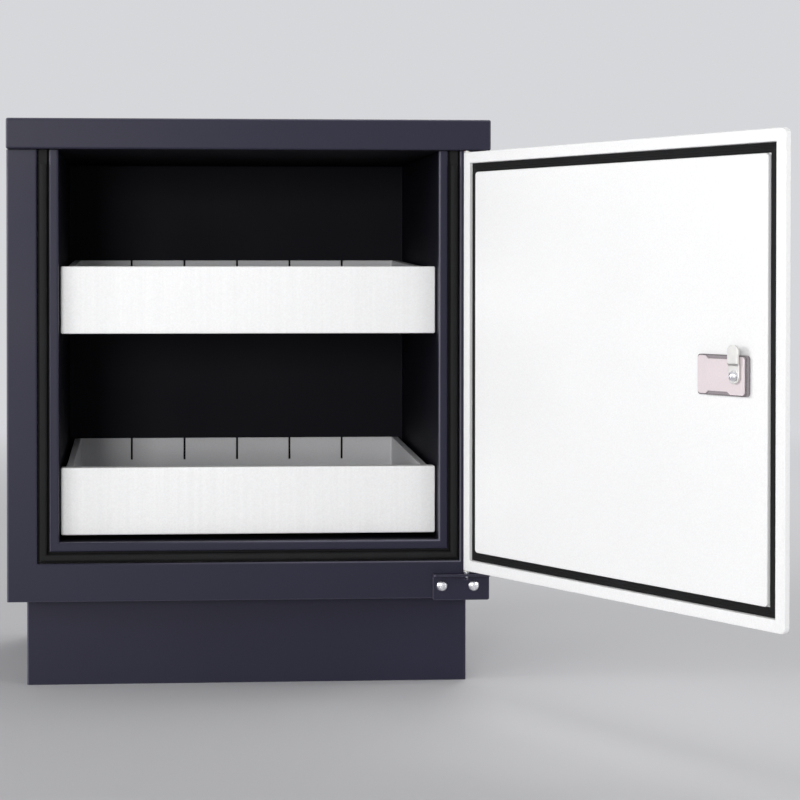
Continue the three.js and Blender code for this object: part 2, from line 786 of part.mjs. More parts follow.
// Handle outside the door: a T-grip on a neck, with the key plug in its middle
function rosette() {
  const disc = bar(rosetteDiameter, 'y', rosetteFront, rosetteBack, spindleX, spindleZ);
  const hole = bar(
    neckDiameter + 2 * runGap, 'y', rosetteFront - overrun, rosetteBack + overrun, spindleX, spindleZ,
  );
  return cut(disc, hole);
}

function handleGrip() {
  const outline = rectangle(
    spindleX - gripWidth / 2 + gripBevel, spindleX + gripWidth / 2 - gripBevel,
    spindleZ - gripLength / 2 + gripBevel, spindleZ + gripLength / 2 - gripBevel,
    gripWidth / 2 - gripBevel - fitGap,
  );
  const settings = {
    depth: gripThickness - 2 * gripBevel,
    bevelThickness: gripBevel,
    bevelSize: gripBevel,
    bevelSegments: 2,
  };
  const geometry = new THREE.ExtrudeGeometry(outline, settings);
  const grip = across(geometry, 'y', gripFront + gripBevel, neckFront - gripBevel);
  const middle = (gripFront + neckFront) / 2;
  const neck = bar(neckDiameter, 'y', middle, rosetteBack, spindleX, spindleZ);
  const plugBore = bar(
    plugDiameter + 2 * runGap, 'y', gripFront - overrun, gripFront + plugDepth, spindleX, spindleZ,
  );
  const socket = bar(
    spindleDiameter + 2 * fitGap, 'y', rosetteBack - socketDepth, rosetteBack + overrun, spindleX, spindleZ,
  );
  return cut(join(grip, neck), plugBore, socket);
}

function keyPlug() {
  const front = gripFront - plugProud;
  const plug = bar(plugDiameter, 'y', front, gripFront + plugDepth - fitGap, spindleX, spindleZ);
  const keyway = block(
    spindleX - keywayWidth / 2, spindleX + keywayWidth / 2, front - overrun, front + keywayDepth,
    spindleZ - keywayLength / 2, spindleZ + keywayLength / 2,
  );
  return cut(plug, keyway);
}

// Lower drawer, pushed in. The upper one is the same, one pitch higher.
function drawerFront() {
  const face = rectangle(-frontHalf, frontHalf, frontBottom, frontTop, frontRadius);
  const plan = rectangle(-frontHalf, frontHalf, frontY, frontBack, frontEdgeRadius, frontEdgeRadius, 0, 0);
  const side = rectangle(frontY, frontBack, frontBottom, frontTop, frontEdgeRadius, 0, 0, frontEdgeRadius);
  const pan = common(
    prism(face, 'y', frontY, frontBack),
    prism(plan, 'z', frontBottom, frontTop),
    prism(side, 'x', -frontHalf, frontHalf),
  );
  const hollow = rectangle(
    frontSheet - frontHalf, frontHalf - frontSheet, frontBottom + frontSheet, frontTop - frontSheet,
    frontRadius - frontSheet,
  );
  return cut(pan, prism(hollow, 'y', frontY + frontSheet, frontBack + overrun));
}

// The rim of the tray's sides falls from the rear wall's top to just below the front's top
function rimHeight(y) {
  const share = (y - trayFront) / (hemBack - trayFront);
  return frontTop - trayFrontDrop + share * (trayRise + trayFrontDrop);
}

// Strip along the rim from `start` to the rear corner, between two heights over the rim
function rimStrip(start, under, over) {
  const points = [[start, under], [hemBack, under], [hemBack, over], [start, over]];
  return new THREE.Shape(points.map(([y, height]) => new THREE.Vector2(y, rimHeight(y) + height)));
}

// The tray's sides end in an outward hem above the slides, and slits run down its rear wall
function drawerTray() {
  const shell = cut(
    prism(rectangle(-trayHalf, trayHalf, trayFront, trayBack, trayCornerRadius), 'z', trayBottom, trayTop),
    prism(
      rectangle(
        traySheet - trayHalf, trayHalf - traySheet, trayFront + traySheet, trayBack - traySheet,
        trayCornerRadius - traySheet,
      ),
      'z', trayBottom + traySheet, trayTop + overrun,
    ),
  );
  const sideCut = prism(
    rimStrip(trayFront - overrun, 0, trayRise + trayFrontDrop + overrun), 'x',
    -trayHalf - overrun, trayHalf + overrun,
  );
  const hems = [-1, 1].map((side) => {
    const near = side * (trayHalf - traySheet);
    const far = side * (trayHalf + hemWidth);
    const inner = side * (trayHalf + hemWidth - traySheet);
    const top = prism(rimStrip(hemFront, -traySheet, 0), 'x', Math.min(near, far), Math.max(near, far));
    const fall = prism(rimStrip(hemFront, -hemReturn, 0), 'x', Math.min(inner, far), Math.max(inner, far));
    return join(top, fall);
  });
  const slits = Array.from({ length: slitCount }, (_, index) => {
    const x = (index - (slitCount - 1) / 2) * slitPitch;
    return block(
      x - slitWidth / 2, x + slitWidth / 2, trayBack - traySheet - overrun, trayBack + overrun,
      trayTop - slitDepth, trayTop + overrun,
    );
  });
  return cut(join(cut(shell, sideCut), ...hems), ...slits);
}

// Section of one member: a web at `web`, flanges that end at `end`, and lips that hold the balls in
function channelOutline(side, web, end, half, wall, lip) {
  const toward = Math.sign(end - web);
  const webIn = web + toward * wall;
  const endIn = end - toward * wall;
  const upper = [[webIn, half - wall], [end, half - wall], [end, half], [web, half]];
  if (lip > 0) {
    upper.splice(1, 1, [endIn, half - wall], [endIn, half - wall - lip], [end, half - wall - lip]);
  }
  const lower = upper.map(([s, t]) => [s, -t]).reverse();
  const wallX = openingHalf - fitGap;
  return new THREE.Shape(
    [...upper, ...lower].map(([s, t]) => new THREE.Vector2(side * (wallX - s), slideZ + t)),
  );
}

const outerMember = (side) => prism(
  channelOutline(side, 0, outerEnd, outerHalf, slideSheet, slideLip), 'y', slideFront, slideBack,
);
const middleMember = (side) => prism(
  channelOutline(side, middleWeb, middleEnd, middleHalf, slideSheet, slideLip), 'y', slideFront, slideBack,
);
const innerMember = (side) => prism(
  channelOutline(side, slideThickness, innerStart, innerHalf, slideSheet, 0), 'y', slideFront, slideBack,
);

// A ball cage is a short channel that carries two rows of balls, centred on the slide
function ballCage(side, web, row, rowHeight) {
  const length = slideBack - slideFront - drawerTravel / 2 - 2 * cageMargin;
  const middle = (slideFront + slideBack) / 2;
  const outline = channelOutline(side, web, row + ballDiameter / 2, rowHeight + cageSheet / 2, cageSheet, 0);
  const strip = prism(outline, 'y', middle - length / 2, middle + length / 2);
  const pitch = (length - 2 * cageEnd) / (ballsInRow - 1);
  const balls = [-rowHeight, rowHeight].flatMap((height) =>
    Array.from({ length: ballsInRow }, (_, index) => {
      const geometry = new THREE.SphereGeometry(ballDiameter / 2, ballSides, ballSides / 2);
      const y = middle - length / 2 + cageEnd + index * pitch;
      return solid(geometry.translate(side * (openingHalf - fitGap - row), y, slideZ + height));
    }));
  return join(strip, ...balls);
}

// Fixed pieces
add('plinth', plinth(), slatePaint);
add('outer_casing', outerCasing(), slatePaint);
add('back_cover', backCover(), slatePaint);
add('top_cap', topCap(), slatePaint);
add('ceiling_panel', ceilingPanel(), linerPaint);
add('top_insulation', topInsulation(), fibreBoard);
add('left_insulation', leftBoard(), fibreBoard);
add('right_insulation', rightBoard(), fibreBoard);
add('floor_insulation', floorBoard(), fibreBoard);
add('rear_insulation', rearBoard(), fibreBoard);
add('inner_liner', innerLiner(), linerPaint);
add('lip_frame', lipFrame(), slatePaint);
add('frame_seal', frameSeal(), blackRubber);
add('keeper_cup', keeperCup(), blackSteel);
add('hinge_bracket', hingeBracket(), slatePaint);
add('bracket_screw_left', bracketScrew(screwPlaces[0]), brightSteel);
add('bracket_screw_right', bracketScrew(screwPlaces[1]), brightSteel);
add('lower_pivot_pin', lowerPin(), zincSteel);
add('upper_pivot_pin', upperPin(), zincSteel);

// Door, handle and key plug
add('door_skin', doorSkin(), whitePaint, door);
add('door_gasket', doorGasket(), blackRubber, door);
add('door_core', doorCore(), fibreBoard, door);
add('door_panel', doorPanel(), whitePaint, door);
add('lower_bush', bush(doorBottom, -1), nylon, door);
add('upper_bush', bush(doorTop, 1), nylon, door);
add('lock_case', lockCase(), blackSteel, door);
add('lock_cover', lockCover(), lockPaint, door);
add('handle_rosette', rosette(), blackSteel, door);
add('lock_spindle', spindle(), zincSteel, handle);
add('lock_cam', lockCam(), zincSteel, handle);
add('cam_screw', camScrew(), brightSteel, handle);
add('handle_grip', handleGrip(), blackSteel, handle);
add('key_plug', keyPlug(), brightSteel, key);

// Drawers and their slides
for (const [level, lift] of [['lower', 0], ['upper', drawerPitch]]) {
  const fixed = pivotGroup(cabinet, 0, slideFront, slideZ);
  const drawer = pivotGroup(cabinet, 0, frontY, frontBottom);
  const middle = pivotGroup(cabinet, 0, slideFront, slideZ);
  const outerCages = pivotGroup(cabinet, 0, slideFront, slideZ);
  const innerCages = pivotGroup(cabinet, 0, slideFront, slideZ);
  for (const group of [fixed, drawer, middle, outerCages, innerCages]) {
    group.position.z += lift;
  }
  add(`${level}_drawer_front`, drawerFront(), whitePaint, drawer);
  add(`${level}_drawer_tray`, drawerTray(), trayPaint, drawer);
  for (const [hand, side] of [['left', -1], ['right', 1]]) {
    const name = `${level}_${hand}`;
    add(`${name}_slide_outer`, outerMember(side), slideSteel, fixed);
    add(`${name}_slide_middle`, middleMember(side), slideSteel, middle);
    add(`${name}_slide_inner`, innerMember(side), slideSteel, drawer);
    add(`${name}_outer_cage`, ballCage(side, outerCageWeb, outerRow, outerRowHeight), zincSteel, outerCages);
    add(`${name}_inner_cage`, ballCage(side, innerCageWeb, innerRow, innerRowHeight), zincSteel, innerCages);
  }
}

export default cabinet;
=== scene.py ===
# %% [markdown]
# # Data storage cabinet: its looks
# The CAD part already has every solid of this low steel cabinet in its right place. This lesson loads
# it as a fixed frame and gives it what a photograph shows: painted sheet with rounded folds, rubber
# seals, plated screws, and soft studio light. Everything is in metres, with +Z up and the front at -Y.

import json
import math

import bmesh
import bpy
from mathutils import Matrix, Vector


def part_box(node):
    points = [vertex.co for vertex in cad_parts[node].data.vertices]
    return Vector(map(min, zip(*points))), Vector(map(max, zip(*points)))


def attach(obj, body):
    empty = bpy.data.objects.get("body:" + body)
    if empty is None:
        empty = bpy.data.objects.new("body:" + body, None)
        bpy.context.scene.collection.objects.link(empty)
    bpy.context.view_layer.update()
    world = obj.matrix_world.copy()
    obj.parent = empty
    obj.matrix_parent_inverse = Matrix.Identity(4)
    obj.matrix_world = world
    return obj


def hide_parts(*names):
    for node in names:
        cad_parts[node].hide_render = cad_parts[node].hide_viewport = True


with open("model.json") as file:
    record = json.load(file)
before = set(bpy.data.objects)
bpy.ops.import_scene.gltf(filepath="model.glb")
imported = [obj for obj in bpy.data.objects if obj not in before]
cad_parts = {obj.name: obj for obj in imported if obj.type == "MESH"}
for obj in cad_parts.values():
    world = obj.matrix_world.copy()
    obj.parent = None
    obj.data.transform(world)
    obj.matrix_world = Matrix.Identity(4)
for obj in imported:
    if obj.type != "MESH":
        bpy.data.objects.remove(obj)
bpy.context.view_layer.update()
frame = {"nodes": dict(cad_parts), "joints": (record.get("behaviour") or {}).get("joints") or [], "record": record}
MM = 0.001

# %% [markdown]
# ## Camera
# The photograph was taken from the front left with a long lens, and its frame is off the lens's axis:
# upright edges stay upright while the open door is seen from its inner side. A camera can copy that
# with a shifted sensor or by turning. This one does some of both, so that the same shift still keeps
# the whole cabinet in the frame when the camera goes round it.

# %% Camera
picture_width = 800
focal_pixels = 2094.5
sensor_width = 36
turn_right, tilt_down = 0.0655, 0.0123
shift_right, shift_up = 0.145, -0.13

lens = bpy.data.cameras.new("camera")
lens.sensor_width = sensor_width
lens.lens = focal_pixels / picture_width * sensor_width
lens.shift_x, lens.shift_y = shift_right, shift_up
camera = bpy.data.objects.new("camera", lens)
camera.location = (-0.1171, -2.5785, 0.4785)
camera.rotation_euler = (math.pi / 2 - tilt_down, 0, -turn_right)
bpy.context.scene.collection.objects.link(camera)
bpy.context.scene.camera = camera
bpy.context.scene.view_settings.view_transform = "Standard"
print("lens:", round(lens.lens, 1), "mm")

# %% [markdown]
# ## Colours and nodes
# Colours are read off a picture as hex codes, which are sRGB, while shaders count in linear light. One
# function turns the one into the other. A second one adds a shader node with its settings and links,
# so that each finish below can be read from top to bottom.

# %% Colours and nodes
def srgb(code):
    """A hex colour as linear red, green, blue and alpha."""
    shares = [int(code[i:i + 2], 16) / 255 for i in (1, 3, 5)]
    return (*[s / 12.92 if s <= 0.04045 else ((s + 0.055) / 1.055) ** 2.4 for s in shares], 1)


def node(tree, kind, inputs=None, **settings):
    """Adds a shader node, sets or links its inputs, and returns its outputs."""
    made = tree.nodes.new("ShaderNode" + kind)
    for name, value in settings.items():
        setattr(made, name, value)
    for socket, value in (inputs or {}).items():
        if isinstance(value, bpy.types.NodeSocket):
            tree.links.new(value, made.inputs[socket])
        else:
            made.inputs[socket].default_value = value
    return made.outputs


def new_finish(name):
    finish = bpy.data.materials.new(name)
    finish.use_nodes = True
    finish.node_tree.nodes.clear()
    return finish, finish.node_tree


print("slate blue-grey in linear light:", [round(v, 3) for v in srgb("#3E3D4B")[:3]])

# %% [markdown]
# ## Thin paint and a painted highlight on the folds Sprayed powder flows away from a fold while it bakes, so the paint is thinner there and looks paler. Near a sharp edge the Bevel node finds it, because its softened normal leans away from the true one. A fold that is really round has no such lean, but its normal lies along none of the axes. That can be read from the normal itself. This mask takes only the round folds that face up or to the left, towards the light, so what it puts there is a painted highlight.

# %% Painted highlight mask for the round folds
def painted_fold_highlight(tree, normal, lit_side):
    """A painted highlight: 1 on round folds whose normal points towards the lit side, and 0 on faces square to an
    axis.
    """
    sizes = node(tree, "VectorMath", {0: normal}, operation="ABSOLUTE")[0]
    along = node(tree, "SeparateXYZ", {0: sizes})
    squareness = node(tree, "Math", {0: along[0], 1: along[1]}, operation="MAXIMUM")[0]
    squareness = node(tree, "Math", {0: squareness, 1: along[2]}, operation="MAXIMUM")[0]
    bend = node(tree, "MapRange", {"Value": squareness, "From Min": 0.998, "From Max": 0.93})[0]
    # Only folds that face the light get the painted highlight.
    towards = node(tree, "VectorMath", {0: normal, 1: lit_side}, operation="DOT_PRODUCT")["Value"]
    shown = node(tree, "MapRange", {"Value": towards, "From Min": 0.05, "From Max": 0.3})[0]
    return node(tree, "Math", {0: bend, 1: shown}, operation="MULTIPLY")[0]


print("squareness of a flat face: 1.0, half-way round a fold:", round(math.cos(math.pi / 4), 2))

# %% [markdown]
# ## Powder coat
# The casing, the door and the drawers are folded steel with baked powder paint: a satin skin with soft clouds in
# its colour, a slight orange peel, and pale folds where the paint is thinner. On the slate the lit folds also
# carry a painted highlight, and on the lock box the edges carry painted shade. Real orange peel is 1 to 2 mm from
# crest to crest. It is drawn at 2.5 to 3.5 mm, so that it shows at this distance, and the flecks at 1.6 mm. The
# drawer fronts also keep faint upright marks, about 3 mm apart, from a roller.

# %% Powder coat
def powder_coat(name, paint, edge_paint_and_painted_light, roughness, shine=0.5, fold=1.8 * MM, peel=3.5 * MM,
                cloud=0.05, streak=0.0, lit_side=None):
    """Baked powder paint, IOR 1.5, no metal in it. cloud and streak are shares of its colour."""
    clouds_per_metre, fleck_width = 7.0, 1.6 * MM
    marks_per_metre = (1 / (3 * MM), 20, 6)
    gloss_swing, gloss_on_folds, peel_depth = 0.07, -0.16, 0.03 * MM

    finish, tree = new_finish(name)
    spot = node(tree, "TexCoord")["Object"]
    folded = node(tree, "Bevel", {"Radius": fold}, samples=4)["Normal"]
    flat = node(tree, "NewGeometry")["Normal"]
    lean = node(tree, "VectorMath", {0: folded, 1: flat}, operation="DOT_PRODUCT")["Value"]
    drift = node(tree, "TexNoise", {"Vector": spot, "Scale": clouds_per_metre, "Detail": 4.0})[0]
    grain = node(tree, "TexNoise", {"Vector": spot, "Scale": 1 / fleck_width, "Detail": 1.0})[0]

    # Where the edge colour goes: thin paint along sharp folds and in patches, painted highlight on the slate's lit
    # folds, and painted shade along the lock box's edges. A lean is a cosine, so 0.88 is 28 degrees.
    edge_wear_and_painted_light = node(tree, "MapRange", {"Value": lean, "From Min": 0.995, "From Max": 0.88})[0]
    patchy = node(tree, "MapRange", {
        "Value": drift, "From Min": 0.3, "From Max": 0.7, "To Min": 0.6, "To Max": 1.0,
    })[0]
    # Round folds that face the lit side get the edge colour as a painted highlight.
    if lit_side:
        fold_highlight = painted_fold_highlight(tree, flat, lit_side)
        edge_wear_and_painted_light = node(tree, "Math", {0: fold_highlight, 1: edge_wear_and_painted_light}, operation="MAXIMUM")[0]
    edge_wear_and_painted_light = node(tree, "Math", {0: edge_wear_and_painted_light, 1: patchy}, operation="MULTIPLY")[0]

    # How the colour varies over a face: clouds, flecks and, on some, roller marks.
    shade = node(tree, "MapRange", {
        "Value": drift, "From Min": 0.3, "From Max": 0.7, "To Min": 1 - cloud, "To Max": 1 + cloud,
    })[0]
    fleck = node(tree, "MapRange", {
        "Value": grain, "From Min": 0.3, "From Max": 0.7, "To Min": 0.97, "To Max": 1.03,
    })[0]
    shade = node(tree, "Math", {0: shade, 1: fleck}, operation="MULTIPLY")[0]
    if streak:
        upright = node(tree, "Mapping", {"Vector": spot, "Scale": marks_per_metre})[0]
        marks = node(tree, "TexNoise", {"Vector": upright, "Scale": 1.0, "Detail": 3.0})[0]
        marks = node(tree, "MapRange", {
            "Value": marks, "From Min": 0.35, "From Max": 0.7, "To Min": 1 - streak, "To Max": 1.0,
        })[0]
        shade = node(tree, "Math", {0: shade, 1: marks}, operation="MULTIPLY")[0]
    body = node(tree, "VectorMath", {0: srgb(paint)[:3], "Scale": shade}, operation="SCALE")[0]
    coat = node(tree, "Mix", {0: edge_wear_and_painted_light, 6: body, 7: srgb(edge_paint_and_painted_light)}, data_type="RGBA")[2]

    # How the skin shines: a little unevenly, and more on the folds.
    gloss = node(tree, "MapRange", {
        "Value": drift, "To Min": roughness - gloss_swing, "To Max": roughness + gloss_swing,
    })[0]
    gloss = node(tree, "Math", {0: edge_wear_and_painted_light, 1: gloss_on_folds, 2: gloss}, operation="MULTIPLY_ADD")[0]
    waves = node(tree, "TexNoise", {"Vector": spot, "Scale": 1 / peel, "Detail": 2.0})[0]
    skin = node(tree, "Bump", {
        "Strength": 0.8, "Distance": peel_depth, "Height": waves, "Normal": folded,
    })[0]
    film = node(tree, "BsdfPrincipled", {
        "Base Color": coat, "Roughness": gloss, "IOR": 1.5, "Specular IOR Level": shine, "Normal": skin,
    })["BSDF"]
    node(tree, "OutputMaterial", {"Surface": film})
    return finish


print("the cosine of a lean of 28 degrees:", round(math.cos(math.radians(28)), 2))

# %% [markdown]
# ## The paints of this cabinet
# Outside it is slate blue-grey, with a painted highlight on its folds that face up and left; inside near black,
# which stands in for the shade deep in the cabinet; the door and the drawer fronts white, and the trays light
# grey. The lock has small enamelled pieces with a finer peel, and its box has painted shade along its edges. The
# dark paints shine less than usual, because a bright room would lay a pale veil over them.

# %% Paints
# The light falls from the upper left. The slate's pale fold colour is painted on folds facing this way, as a
# highlight.
up_and_left = (-0.75, 0, 0.66)
small_peel = 2.5 * MM

slate_coat = powder_coat(
    "slate powder coat", "#232234", "#605F6D", 0.45, shine=0.22, lit_side=up_and_left,
)
# The liner's near-black colour stands in for the shade deep inside the cabinet.
liner_coat = powder_coat("matt liner coat", "#0B0B14", "#202028", 0.6, shine=0.12)
white_coat = powder_coat("white powder coat", "#F6F6F6", "#FCFCFC", 0.38, cloud=0.01)
front_coat = powder_coat(
    "white drawer front coat", "#F6F6F6", "#FCFCFC", 0.38, cloud=0.01, streak=0.03,
)
tray_coat = powder_coat("light grey tray coat", "#D2D2D4", "#E2E2E3", 0.45)
lock_coat = powder_coat(
    "off-white lock enamel", "#DFD3D6", "#F2ECED", 0.32, fold=0.5 * MM, peel=small_peel,
)
# The lock box's dark edge colour, spread wide by the 2.2 mm fold, is painted shade along its edges.
case_coat = powder_coat(
    "warm grey lock enamel", "#8F878B", "#1C191B", 0.4, fold=2.2 * MM, peel=small_peel,
)
black_coat = powder_coat(
    "dark grey lock enamel", "#34333B", "#67666F", 0.45, fold=0.6 * MM, peel=small_peel,
)
print("painted finishes:", [m.name for m in bpy.data.materials if "coat" in m.name or "enamel" in m.name])

# %% [markdown]
# ## Rubber
# The two seals are black EPDM rubber, extruded and cut to length. Extruded rubber is matt and slightly
# dusty, and a fine grain breaks up its highlights. The grain is under half a millimetre; it is drawn
# at one, so that it shows.

# %% Rubber
def extruded_rubber(name, black, bloom):
    """Matt rubber, IOR 1.52, with a grey bloom of dust in soft patches."""
    patches_per_metre, grain_width, grain_depth = 24.0, 1.0 * MM, 0.05 * MM

    finish, tree = new_finish(name)
    spot = node(tree, "TexCoord")["Object"]
    dust = node(tree, "TexNoise", {"Vector": spot, "Scale": patches_per_metre, "Detail": 5.0})[0]
    dusty = node(tree, "MapRange", {"Value": dust, "From Min": 0.42, "From Max": 0.75, "To Max": 0.5})[0]
    tone = node(tree, "Mix", {0: dusty, 6: srgb(black), 7: srgb(bloom)}, data_type="RGBA")[2]
    grain = node(tree, "TexNoise", {"Vector": spot, "Scale": 1 / grain_width, "Detail": 2.0})[0]
    skin = node(tree, "Bump", {"Strength": 0.6, "Distance": grain_depth, "Height": grain})[0]
    gloss = node(tree, "MapRange", {"Value": dust, "To Min": 0.6, "To Max": 0.8})[0]
    film = node(tree, "BsdfPrincipled", {
        "Base Color": tone, "Roughness": gloss, "IOR": 1.52, "Specular IOR Level": 0.2, "Normal": skin,
    })["BSDF"]
    node(tree, "OutputMaterial", {"Surface": film})
    return finish


seal_rubber = extruded_rubber("extruded seal rubber", "#101011", "#212123")
print("rubber:", seal_rubber.name)

# %% [markdown]
# ## Plated steel
# Screws, pins, cam and slides are steel with a zinc or nickel plate. Rolled strip keeps fine lines
# along its length, which stretch the highlights, and zinc clouds over in soft blotches. The lines are
# a tenth of a millimetre apart on real strip; they are drawn at about one.

# %% Plated steel
def plated_steel(name, metal, cloud, roughness, lines=(1, 1, 1), spacing=1.0 * MM, stretch=0.0):
    """Bare metal, so the IOR stays at its default. lines has a small number along the strip."""
    blotches_per_metre, edge_width, line_depth = 60.0, 0.4 * MM, 0.01 * MM

    finish, tree = new_finish(name)
    spot = node(tree, "TexCoord")["Object"]
    folded = node(tree, "Bevel", {"Radius": edge_width}, samples=4)["Normal"]
    blotch = node(tree, "TexNoise", {"Vector": spot, "Scale": blotches_per_metre, "Detail": 4.0})[0]
    clouded = node(tree, "MapRange", {
        "Value": blotch, "From Min": 0.4, "From Max": 0.75, "To Max": 0.6,
    })[0]
    tone = node(tree, "Mix", {0: clouded, 6: srgb(metal), 7: srgb(cloud)}, data_type="RGBA")[2]
    drawn = node(tree, "Mapping", {"Vector": spot, "Scale": tuple(s / spacing for s in lines)})[0]
    marks = node(tree, "TexNoise", {"Vector": drawn, "Scale": 1.0, "Detail": 2.0})[0]
    gloss = node(tree, "MapRange", {
        "Value": marks, "To Min": roughness - 0.08, "To Max": roughness + 0.1,
    })[0]
    skin = node(tree, "Bump", {
        "Strength": 0.5, "Distance": line_depth, "Height": marks, "Normal": folded,
    })[0]
    film = node(tree, "BsdfPrincipled", {
        "Base Color": tone, "Metallic": 1.0, "Roughness": gloss, "Anisotropic": stretch, "Normal": skin,
    })["BSDF"]
    node(tree, "OutputMaterial", {"Surface": film})
    return finish


zinc_plate = plated_steel("zinc plate", "#BFC2C6", "#8F949C", 0.38)
cam_plate = plated_steel("tumbled nickel on the cam", "#DFDEDB", "#CFCECB", 0.45, spacing=0.8 * MM)
bright_plate = plated_steel("bright nickel", "#F4F4F7", "#DADAE0", 0.3)
rolled_zinc = plated_steel(
    "rolled zinc strip", "#9EA1A6", "#7A7E86", 0.34, lines=(1, 0.02, 1), stretch=0.4,
)
print("plated finishes:", [m.name for m in (zinc_plate, cam_plate, bright_plate, rolled_zinc)])

# %% [markdown]
# ## Board and nylon
# The insulation is a pressed mineral board: chalky, with specks of fibre drawn at 2.5 mm and pits 6 mm
# apart. The bushes of the door's pivots are natural nylon, which lets a little light in under its
# surface and shows faint flow marks from its mould, drawn at 3 mm.

# %% Board and nylon
def mineral_board(name, chalk, speck):
    """Pressed board, chalky and matt, IOR 1.5."""
    fibre_width, pit_spacing, pit_depth = 2.5 * MM, 6 * MM, 0.4 * MM

    finish, tree = new_finish(name)
    spot = node(tree, "TexCoord")["Object"]
    fibre = node(tree, "TexNoise", {"Vector": spot, "Scale": 1 / fibre_width, "Detail": 6.0})[0]
    pits = node(tree, "TexVoronoi", {"Vector": spot, "Scale": 1 / pit_spacing})["Distance"]
    dark = node(tree, "MapRange", {"Value": fibre, "From Min": 0.45, "From Max": 0.7})[0]
    tone = node(tree, "Mix", {0: dark, 6: srgb(chalk), 7: srgb(speck)}, data_type="RGBA")[2]
    relief = node(tree, "Math", {0: fibre, 1: pits}, operation="MULTIPLY")[0]
    skin = node(tree, "Bump", {"Strength": 0.7, "Distance": pit_depth, "Height": relief})[0]
    film = node(tree, "BsdfPrincipled", {
        "Base Color": tone, "Roughness": 0.95, "IOR": 1.5, "Normal": skin,
    })["BSDF"]
    node(tree, "OutputMaterial", {"Surface": film})
    return finish


def moulded_nylon(name, natural, shade):
    """Waxy, slightly see-through nylon, IOR 1.53."""
    flow_width, flow_depth = 3 * MM, 0.02 * MM

    finish, tree = new_finish(name)
    spot = node(tree, "TexCoord")["Object"]
    flow = node(tree, "TexNoise", {"Vector": spot, "Scale": 1 / flow_width, "Detail": 2.0})[0]
    tone = node(tree, "Mix", {0: flow, 6: srgb(natural), 7: srgb(shade)}, data_type="RGBA")[2]
    skin = node(tree, "Bump", {"Strength": 0.4, "Distance": flow_depth, "Height": flow})[0]
    film = node(tree, "BsdfPrincipled", {
        "Base Color": tone, "Roughness": 0.45, "IOR": 1.53, "Subsurface Weight": 0.15, "Normal": skin,
        "Subsurface Scale": 1 * MM,
    })["BSDF"]
    node(tree, "OutputMaterial", {"Surface": film})
    return finish


fire_board = mineral_board("pressed mineral board", "#BEB8A9", "#948E80")
bush_nylon = moulded_nylon("natural nylon", "#E8E6DF", "#D8D5CB")
print("board and nylon:", fire_board.name, "|", bush_nylon.name)

# %% [markdown]
# ## Finishes on the CAD nodes
# The record says which material slot each node takes its finish from, so one table is enough to dress
# them all. Nodes that are replaced further down keep their finish too, and most new pieces take it
# over. The drawer fronts, the cam and the lock's box have finishes of their own, so a second table
# says which slot each finish belongs to.

# %% Finishes on the CAD nodes
slot_finish = {
    "slate_paint": slate_coat, "liner_paint": liner_coat, "white_paint": white_coat,
    "tray_paint": tray_coat, "seal_rubber": seal_rubber, "fibre_board": fire_board,
    "zinc_steel": zinc_plate, "bright_steel": bright_plate, "lock_paint": lock_coat,
    "black_steel": black_coat, "nylon": bush_nylon, "slide_steel": rolled_zinc,
}
finish_slot = {finish.name: slot for slot, finish in slot_finish.items()}
finish_slot[front_coat.name] = "white_paint"
finish_slot[cam_plate.name] = "zinc_steel"
finish_slot[case_coat.name] = "black_steel"

node_slot = {part["node"]: part["material_slot"] for part in frame["record"]["subparts"]}
for name, solid in frame["nodes"].items():
    for slot in solid.material_slots:
        slot.material = slot_finish[node_slot[name]]
print("dressed:", len(node_slot), "nodes")

# %% [markdown]
# ## Measuring and placing
# Door pieces are easiest to model with the door shut, where their sides lie along the axes, and to
# swing open at the end. The hinge's pivot and its angle come from the record, so that nothing has to
# be typed twice. Each new piece is checked for open edges when it is placed: a closed skin has none.
# Edges of less than 32 degrees are shaded smooth, and sharper ones stay hard.

# %% Measuring and placing
hinge = next(joint for joint in frame["joints"] if joint["name"] == "door_hinge")
pivot = Vector((*hinge["pos_m"][:2], 0))
opened = Matrix.Rotation(-math.radians(hinge["range_deg"][0]), 3, "Z")
smooth_below = math.radians(32)


def shut_box(name):
    """Low and high corner of a door node's box, with the door shut."""
    spots = [opened.inverted() @ (v.co - pivot) + pivot for v in frame["nodes"][name].data.vertices]
    return Vector(map(min, zip(*spots))), Vector(map(max, zip(*spots)))


def swing_open(bm):
    bmesh.ops.rotate(bm, verts=bm.verts, cent=pivot, matrix=opened)
    return bm


def place(name, bm, body, finish, *stands_for):
    """Makes the bmesh an object that rides on a body and stands for CAD nodes."""
    gaps = sum(not edge.is_manifold for edge in bm.edges)
    mesh = bpy.data.meshes.new(name)
    bm.to_mesh(mesh)
    bm.free()
    mesh.materials.append(finish)
    mesh.shade_smooth()
    mesh.set_sharp_from_angle(angle=smooth_below)
    piece = bpy.data.objects.new(name, mesh)
    bpy.context.scene.collection.objects.link(piece)
    piece.modifiers.new("flat faces shade flat", "WEIGHTED_NORMAL").keep_sharp = True
    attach(piece, body)
    if stands_for:
        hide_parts(*stands_for)
    print(f"{name}: {len(mesh.polygons)} faces, {gaps} open edges")


door_low, door_high = shut_box("door_skin")
print("door leaf, shut, in mm:", [round(v / MM, 1) for v in door_high - door_low])

# %% [markdown]
# ## A small box of shaping tools
# Nearly all of this cabinet is folded sheet, turned steel or something bored. A block between two
# corners is the start of most pieces. Two helpers pick edges, by their direction or by how sharp they
# are, and one bevels the picked ones. Bevels that meet half-way through a thin sheet leave points on
# top of each other, and those are merged. Another helper cuts or joins two closed shapes with the
# Boolean modifier, which copes with flat faces that meet. Turned shapes spin a half profile about a Y
# axis, like a lathe does.

# %% Blocks and edges
Y, Z = 1, 2
same_spot = 1e-6  # m: points closer than this are one point


